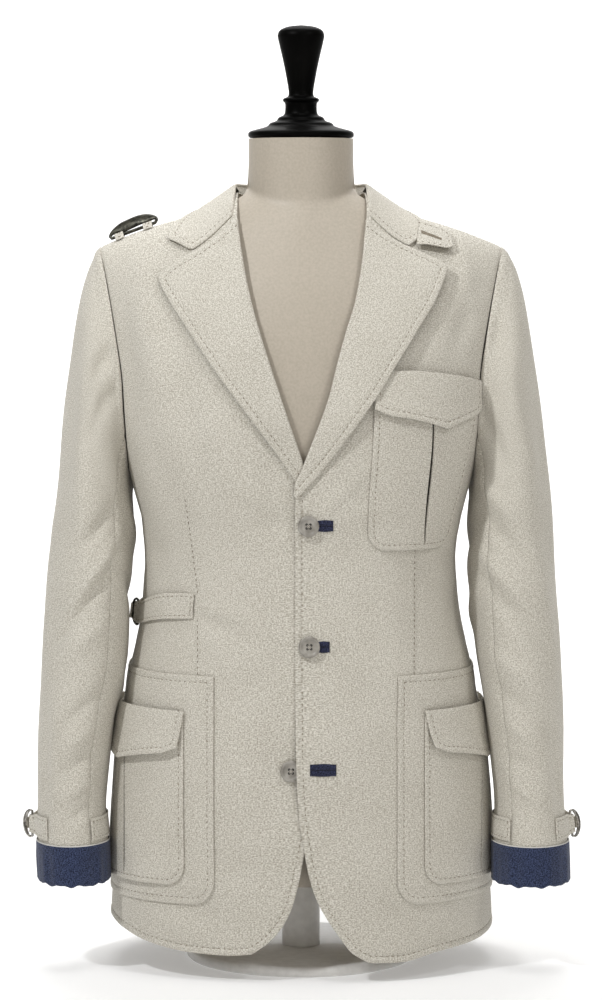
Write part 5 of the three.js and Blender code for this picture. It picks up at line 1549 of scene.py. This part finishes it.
def button(name, node, x, height, lift):
    place = seat_frame(x, height, lift)
    disc = turned_mesh(name, BUTTON_PROFILE, 56, place)
    finish_piece(disc, node, HORN)
    for i, (dx, dy) in enumerate(((1.8, 1.8), (-1.8, 1.8), (-1.8, -1.8), (1.8, -1.8))):
        moved = lambda p, dx=dx, dy=dy: place(p + [dx, dy, 0])
        # Painted shade: a near-black disc stands in for the shade inside the hole
        hole_shade_disc = turned_mesh(f"{name}_hole_{i + 1}", HOLE_PROFILE, 14, moved)
        finish_piece(hole_shade_disc, None, HOLE_SHADE)
    for i, (dx, dy) in enumerate(((1, 1), (1, -1))):
        line = np.stack([np.linspace(-1.7, 1.7, 12) * dx, np.linspace(-1.7, 1.7, 12) * dy,
                         2.25 + 0.35 * np.sin(np.linspace(0, np.pi, 12))], -1)
        back = line[::-1] * [1, 1, 0] + [0, 0, 1.9]
        thread = tube_round(f"{name}_thread_{i + 1}", place(np.concatenate([line, back[1:-1]])), 0.3,
                            place(np.array([[0, 0, 1.0]]))[0] - place(np.array([[0, 0, 0.0]]))[0], 8)
        finish_piece(thread, None, BUTTON_THREAD)


# Painted shade for the button holes, near black instead of an open hole
HOLE_SHADE = coated("button_hole_painted_shade", (0.02, 0.018, 0.016), (0.03, 0.028, 0.025), 0.7, 100)
BUTTON_THREAD = coated("button_thread", (0.40, 0.37, 0.32), (0.55, 0.51, 0.45), 0.8, 900)
button("button_top_horn", "button_top", 7.2, 434, 0.7)
button("button_middle_horn", "button_middle", 8, 316.5, 0.7)
button("button_low_horn", "button_low", -9.7, 196.5, float(left_front_lift(-9.7, 196.5)) + 0.8)

# %% [markdown]
# The front's buttonholes are bound in navy cloth: an oblong with two rounded lips that meet in
# a slit, drawn down into the front. The throat tab has a plain worked one.

# %% Buttonholes
def buttonhole(name, x0, x1, height, lift, half, place, finish, tilt=0.0, lips=1):
    u = np.linspace(0, 1, 34)[:, None]
    v = np.linspace(-1, 1, 41)[None]
    length = x1 - x0
    x = mix(x0, x1, u) + 0 * v
    z = height + tilt * (u - 0.5) * length + v * half * (1 - 0.05 * np.cos(2 * np.pi * u))
    end = np.minimum(u, 1 - u) * length
    inside = smooth_step(0, 1.0, end) * smooth_step(0, 1.0, (1 - np.abs(v)) * half)
    across = np.abs(v) * half if lips == 1 else np.abs(np.abs(v) - 0.5) * half
    swell = 1.1 * np.sqrt(np.clip(1 - (across / (half * 0.5)) ** 2, 0, 1)) if lips == 2 else 0.5
    slit = 0.45 * np.exp(-((v * half / 0.4) ** 2)) * smooth_step(0.3, 1.6, end)
    outer = place(x, z, lift + inside * (0.25 + swell) - slit * inside)
    inner = place(x, z, lift - 0.45 + 0 * x)
    piece = wall(name, outer, inner, chart=(x, -z))
    return finish_piece(piece, None, finish)


def on_right_front(x, z, lift):
    return on_trunk(turn_of(x, z), climb_of(x, z), right_front_lift(x, z) + lift)


def on_tab(x, z, lift):
    return on_shoulder(x, climb_of(x, z), TAB_RISE + PATCH + 0.35 + lift)


buttonhole("buttonhole_top", 15, 31.2, 434, 0.3, 5.6, on_right_front, NAVY, lips=2)
buttonhole("buttonhole_middle", 16, 27.8, 316.5, 0.3, 5.4, on_right_front, NAVY, lips=2)
buttonhole("buttonhole_low", 8.6, 34, 198, 0.3, 5.9, on_right_front, NAVY, lips=2)
buttonhole("buttonhole_throat", 117, 137, 709.5, 0, 1.5, on_tab, THREAD, -0.38)

# %% [markdown]
# Stitches are what repeats most here: short slanting pricks of thread a few millimetres apart
# along every edge. One Geometry Nodes tree spaces them on all the rows at once.

# %% Stitches by Geometry Nodes
def stitch_tree(pitch, long, thick):
    tree = bpy.data.node_groups.new("stitch_rows", "GeometryNodeTree")
    face = tree.interface
    face.new_socket("Rows", in_out="INPUT", socket_type="NodeSocketGeometry")
    for label, value in (("Pitch", pitch), ("Stitch length", long), ("Thread thickness", thick)):
        face.new_socket(label, in_out="INPUT", socket_type="NodeSocketFloat").default_value = value
    face.new_socket("Stitches", in_out="OUTPUT", socket_type="NodeSocketGeometry")
    nodes, links = tree.nodes, tree.links
    given, result = nodes.new("NodeGroupInput"), nodes.new("NodeGroupOutput")
    to_curve = nodes.new("GeometryNodeMeshToCurve")
    resample = nodes.new("GeometryNodeResampleCurve")
    resample.mode = "LENGTH"
    links.new(given.outputs["Rows"], to_curve.inputs["Mesh"])
    links.new(to_curve.outputs["Curve"], resample.inputs["Curve"])
    links.new(given.outputs["Pitch"], resample.inputs["Length"])
    bead = nodes.new("GeometryNodeMeshUVSphere")
    bead.inputs["Segments"].default_value = 8
    bead.inputs["Rings"].default_value = 5
    bead.inputs["Radius"].default_value = 0.5
    size = nodes.new("ShaderNodeCombineXYZ")
    links.new(given.outputs["Stitch length"], size.inputs["X"])
    links.new(given.outputs["Thread thickness"], size.inputs["Y"])
    links.new(given.outputs["Thread thickness"], size.inputs["Z"])
    shaped = nodes.new("GeometryNodeTransform")
    links.new(bead.outputs["Mesh"], shaped.inputs["Geometry"])
    links.new(size.outputs["Vector"], shaped.inputs["Scale"])
    tangent = nodes.new("GeometryNodeInputTangent")
    facing = nodes.new("GeometryNodeInputNamedAttribute")
    facing.data_type = "FLOAT_VECTOR"
    facing.inputs["Name"].default_value = "facing"
    along = nodes.new("FunctionNodeAlignRotationToVector")
    along.axis = "X"
    outward = nodes.new("FunctionNodeAlignRotationToVector")
    outward.axis, outward.pivot_axis = "Z", "X"
    links.new(tangent.outputs["Tangent"], along.inputs["Vector"])
    links.new(along.outputs["Rotation"], outward.inputs["Rotation"])
    links.new(facing.outputs["Attribute"], outward.inputs["Vector"])
    scatter = nodes.new("GeometryNodeInstanceOnPoints")
    links.new(resample.outputs["Curve"], scatter.inputs["Points"])
    links.new(shaped.outputs["Geometry"], scatter.inputs["Instance"])
    links.new(outward.outputs["Rotation"], scatter.inputs["Rotation"])
    vary = nodes.new("FunctionNodeRandomValue")
    vary.data_type = "FLOAT_VECTOR"
    vary.inputs[0].default_value = (0.8, 0.85, 0.85)
    vary.inputs[1].default_value = (1.15, 1.1, 1.1)
    vary.inputs["Seed"].default_value = 7
    links.new(vary.outputs["Value"], scatter.inputs["Scale"])
    real = nodes.new("GeometryNodeRealizeInstances")
    smooth = nodes.new("GeometryNodeSetShadeSmooth")
    finish = nodes.new("GeometryNodeSetMaterial")
    finish.inputs["Material"].default_value = THREAD
    links.new(scatter.outputs["Instances"], real.inputs["Geometry"])
    links.new(real.outputs["Geometry"], smooth.inputs["Geometry"])
    links.new(smooth.outputs["Geometry"], finish.inputs["Geometry"])
    links.new(finish.outputs["Geometry"], result.inputs["Stitches"])
    return tree


def stitch_object(name, lines, pitch, long, thick):
    """Rows of stitches as one plain mesh"""
    points = np.concatenate([line for line, _ in lines])
    normals = np.concatenate([way for _, way in lines])
    edges, start = [], 0
    for line, _ in lines:
        edges += [(start + i, start + i + 1) for i in range(len(line) - 1)]
        start += len(line)
    lifted = points + [0, 0, RAISE]
    rows = bpy.data.meshes.new(name + "_rows")
    rows.from_pydata((lifted / 1000).tolist(), edges, [])
    facing = rows.attributes.new("facing", "FLOAT_VECTOR", "POINT")
    facing.data.foreach_set("vector", unit(normals).astype(np.float32).ravel())
    carrier = bpy.data.objects.new(name + "_rows", rows)
    bpy.context.scene.collection.objects.link(carrier)
    modifier = carrier.modifiers.new("stitches", "NODES")
    modifier.node_group = stitch_tree(pitch / 1000, long / 1000, thick / 1000)
    evaluated = carrier.evaluated_get(bpy.context.evaluated_depsgraph_get())
    plain = bpy.data.meshes.new_from_object(evaluated)
    plain.name = name
    bpy.data.objects.remove(carrier)
    made = bpy.data.objects.new(name, plain)
    bpy.context.scene.collection.objects.link(made)
    plain.materials.clear()
    finish_piece(made, None, THREAD)
    print(f"{name}: {len(lines)} rows, {len(plain.polygons)} faces")


stitch_object("edge_stitches", stitch_lines, 5.6, 2.9, 0.85)

# %% [markdown]
# The dress form under the jacket: a padded trunk with a short neck under taut ivory cloth, a
# turned and lacquered cap, a post and a round foot.

# %% Dress form
FORM = table("height half_width front back", [
    (81, 172, 124, 122), (200, 168, 124, 122), (290, 155, 119, 112), (345, 146, 114, 100),
    (400, 143, 111, 93), (430, 146, 113, 95), (475, 156, 118, 105), (530, 164, 122, 113),
    (600, 172, 120, 115), (660, 181, 113, 111), (706, 196, 103, 103), (728, 196, 101, 90),
    (754, 196, 99, 40),
])
FORM_REACH = table("height out", [
    (699, 196.5), (711.3, 169.6), (724.4, 129.6), (731.6, 102), (738.5, 86), (744.5, 74.5),
    (750.5, 61), (755, 55.5), (762, 53.5), (773, 52.6), (790, 52),
])
FORM_DROP = 2.95
NECK_RADIUS = 52
NECK_MIDDLE = 4
NECK_TOP = 809
FORM_BOTTOM = 81
form_width, form_front, form_back = (curve(FORM, "height", key) for key in ("half_width", "front", "back"))
form_reach = curve(FORM_REACH, "height", "out")


def form_point(around, height):
    around, height = np.broadcast_arrays(around, height)
    ahead = np.cos(np.radians(around)) > 0
    toward = np.where(ahead, -1, 1)
    width = form_width(height)
    x = np.minimum(width, form_reach(height)) * across_at(around)
    round_share = (1 - np.minimum(np.abs(x) / width, 1) ** GIRTH) ** (1 / GIRTH)
    rise = np.clip((height - ARMPIT) / (ridge_at(np.abs(x)) - FORM_DROP - ARMPIT), 0, 1)
    arch = (1 - rise**ARCH) ** (1 / ARCH)
    depth = np.where(ahead, form_front(height), form_back(height)) * round_share
    trunk = mix(toward * RIDGE_DEPTH, depth, arch)
    neck = np.sqrt(np.maximum(NECK_RADIUS**2 - x**2, 0)) + toward * NECK_MIDDLE
    blend = 5 * (1 - smooth_step(775, 800, height)) * np.sqrt(arch)
    whole = (trunk + neck + np.hypot(trunk - neck, blend)) / 2
    y = toward * np.where(height < 690, trunk, whole)
    return np.stack([x, y, height + 0 * x], -1)


def form_trunk():
    heights = np.concatenate([
        np.linspace(FORM_BOTTOM, 688, 64), np.linspace(690, 764, 48), np.linspace(765, NECK_TOP, 14),
    ])
    around = np.linspace(0, 360, 150, endpoint=False)
    net = form_point(around[None], heights[:, None])
    seam = np.exp(-((np.minimum(np.mod(around, 90), 90 - np.mod(around, 90)) / 0.9) ** 2)) * 0.4
    middle = np.stack([0 * heights, 0 * heights + RIDGE_DEPTH / 2, heights], -1)[:, None]
    net = net - unit(net - middle) * seam[None, :, None]
    rows, columns = net.shape[:2]
    index = np.arange(rows * columns).reshape(rows, columns)
    a, b = index[:-1], np.roll(index, -1, 1)[:-1]
    c, d = np.roll(index, -1, 1)[1:], index[1:]
    faces = np.stack([a, b, c, d], -1).reshape(-1, 4).tolist()
    faces += [index[0][::-1].tolist(), index[-1].tolist()]
    points = net.reshape(-1, 3) + [0, 0, RAISE]
    mesh = bpy.data.meshes.new("form_trunk_cover")
    mesh.from_pydata((points / 1000).tolist(), [], faces)
    mesh.polygons.foreach_set("use_smooth", np.ones(len(faces), bool))
    mesh.set_sharp_from_angle(angle=math.radians(50))
    made = bpy.data.objects.new("form_trunk_cover", mesh)
    bpy.context.scene.collection.objects.link(made)
    finish_piece(made, "form_torso", FORM_COVER)


form_trunk()

CAP = table("radius height", [
    (0.2, 0.4), (50, 0.4), (52.5, 2), (52.5, 5.5), (50.5, 7.5), (33, 12), (31, 15.5), (24, 17.5),
    (22.5, 21), (16, 23.5), (15.5, 35), (18, 37), (18, 39.5), (12.5, 41.5), (12, 47), (17, 74),
    (22.5, 97), (23.4, 102), (21.5, 107), (14, 110.5), (0.2, 112),
])


def softened(profile, passes=2):
    """Cuts the corners of a profile, so that a turned piece has rounded beads"""
    for _ in range(passes):
        near, far = profile[:-1] * 0.8 + profile[1:] * 0.2, profile[:-1] * 0.2 + profile[1:] * 0.8
        profile = np.concatenate([profile[:1], np.stack([near, far], 1).reshape(-1, 2), profile[-1:]])
    return profile


def upright(name, node, profile, segments, base, finish):
    profile = np.array(profile, float)
    move = lambda p: p + np.array(base, float)
    finish_piece(turned_mesh(name, profile, segments, move), node, finish)


cap_profile = softened(np.stack([CAP["radius"], CAP["height"]], -1))
upright("form_cap_wood", "form_cap", cap_profile, 72, (0, NECK_MIDDLE, NECK_TOP), LACQUER)
POST = [(0.2, 0.3), (19, 0.3), (19, 80.7), (0.2, 80.7)]
upright("form_post_metal", "form_post", POST, 48, (0, 0, 0), ENAMEL)
FOOT = [(0.2, -10), (113.5, -10), (115, -8.5), (115, -4), (113.6, -1.4), (110, 0), (0.2, 0)]
upright("form_foot_metal", "form_foot", FOOT, 96, (0, 0, 0), ENAMEL)

# %% [markdown]
# A plain pale floor and soft studio light. The photograph's light is broad and comes from in
# front and above, a little from the left, so the folds stay faint and the sleeves' inner sides
# fall into shade.

# %% Floor, light and view
sweep_profile = [(-5.0, 0.0), (1.6, 0.0)]
for step in range(1, 13):
    angle = math.pi / 2 * step / 12
    sweep_profile.append((1.6 + 1.2 * math.sin(angle), 1.2 - 1.2 * math.cos(angle)))
sweep_profile.append((2.8, 5.0))
points = [(x, y, z) for y, z in sweep_profile for x in (-5.0, 5.0)]
strips = [(2 * i, 2 * i + 1, 2 * i + 3, 2 * i + 2) for i in range(len(sweep_profile) - 1)]
sweep_mesh = bpy.data.meshes.new("studio_sweep")
sweep_mesh.from_pydata(points, [], strips)
sweep_mesh.polygons.foreach_set("use_smooth", np.ones(len(strips), bool))
sweep = bpy.data.objects.new("studio_sweep", sweep_mesh)
bpy.context.scene.collection.objects.link(sweep)
sweep_material, sweep_nodes, sweep_links = material("white_paper")
paper = add(sweep_nodes, "ShaderNodeBsdfPrincipled")
paper.inputs["Base Color"].default_value = (0.8, 0.8, 0.8, 1)
paper.inputs["Roughness"].default_value = 0.9
paper.inputs["Emission Color"].default_value = (1, 1, 1, 1)
paper.inputs["Emission Strength"].default_value = 0.24
# The paper shows only on its front, so a view from behind the jacket looks through it
side_seen = add(sweep_nodes, "ShaderNodeNewGeometry")
clear = add(sweep_nodes, "ShaderNodeBsdfTransparent")
either = add(sweep_nodes, "ShaderNodeMixShader")
sweep_links.new(side_seen.outputs["Backfacing"], either.inputs[0])
sweep_links.new(paper.outputs["BSDF"], either.inputs[1])
sweep_links.new(clear.outputs["BSDF"], either.inputs[2])
sweep_links.new(either.outputs["Shader"], add(sweep_nodes, "ShaderNodeOutputMaterial").inputs["Surface"])
sweep_mesh.materials.append(sweep_material)

world = bpy.data.worlds.new("studio")
world.use_nodes = True
world.node_tree.nodes["Background"].inputs["Color"].default_value = (1, 0.95, 0.87, 1)
world.node_tree.nodes["Background"].inputs["Strength"].default_value = 0.2
bpy.context.scene.world = world
bpy.context.scene.view_settings.view_transform = "Standard"


def soft_light(name, place, aim, size, power, colour=(1, 1, 1)):
    data = bpy.data.lights.new(name, "AREA")
    data.shape, data.size, data.energy, data.color = "DISK", size, power, colour
    lamp = bpy.data.objects.new(name, data)
    lamp.location = place
    lamp.rotation_euler = (Vector(aim) - Vector(place)).to_track_quat("-Z", "Y").to_euler()
    bpy.context.scene.collection.objects.link(lamp)


soft_light("key", (-1.1, -1.05, 1.85), (0, 0, 0.65), 0.14, 20, (0.98, 0.99, 1))
soft_light("second", (1.15, -1.1, 1.85), (0, 0, 0.45), 0.2, 7, (0.98, 0.99, 1))
soft_light("top", (0.1, -0.4, 2.4), (0, 0, 0.7), 0.8, 10)
soft_light("fill", (0.9, -2.4, 0.9), (0, 0, 0.4), 1.4, 9, (1, 0.96, 0.90))
soft_light("paper", (0, 1.2, 2.6), (0, 2.6, 0.9), 2.0, 70)
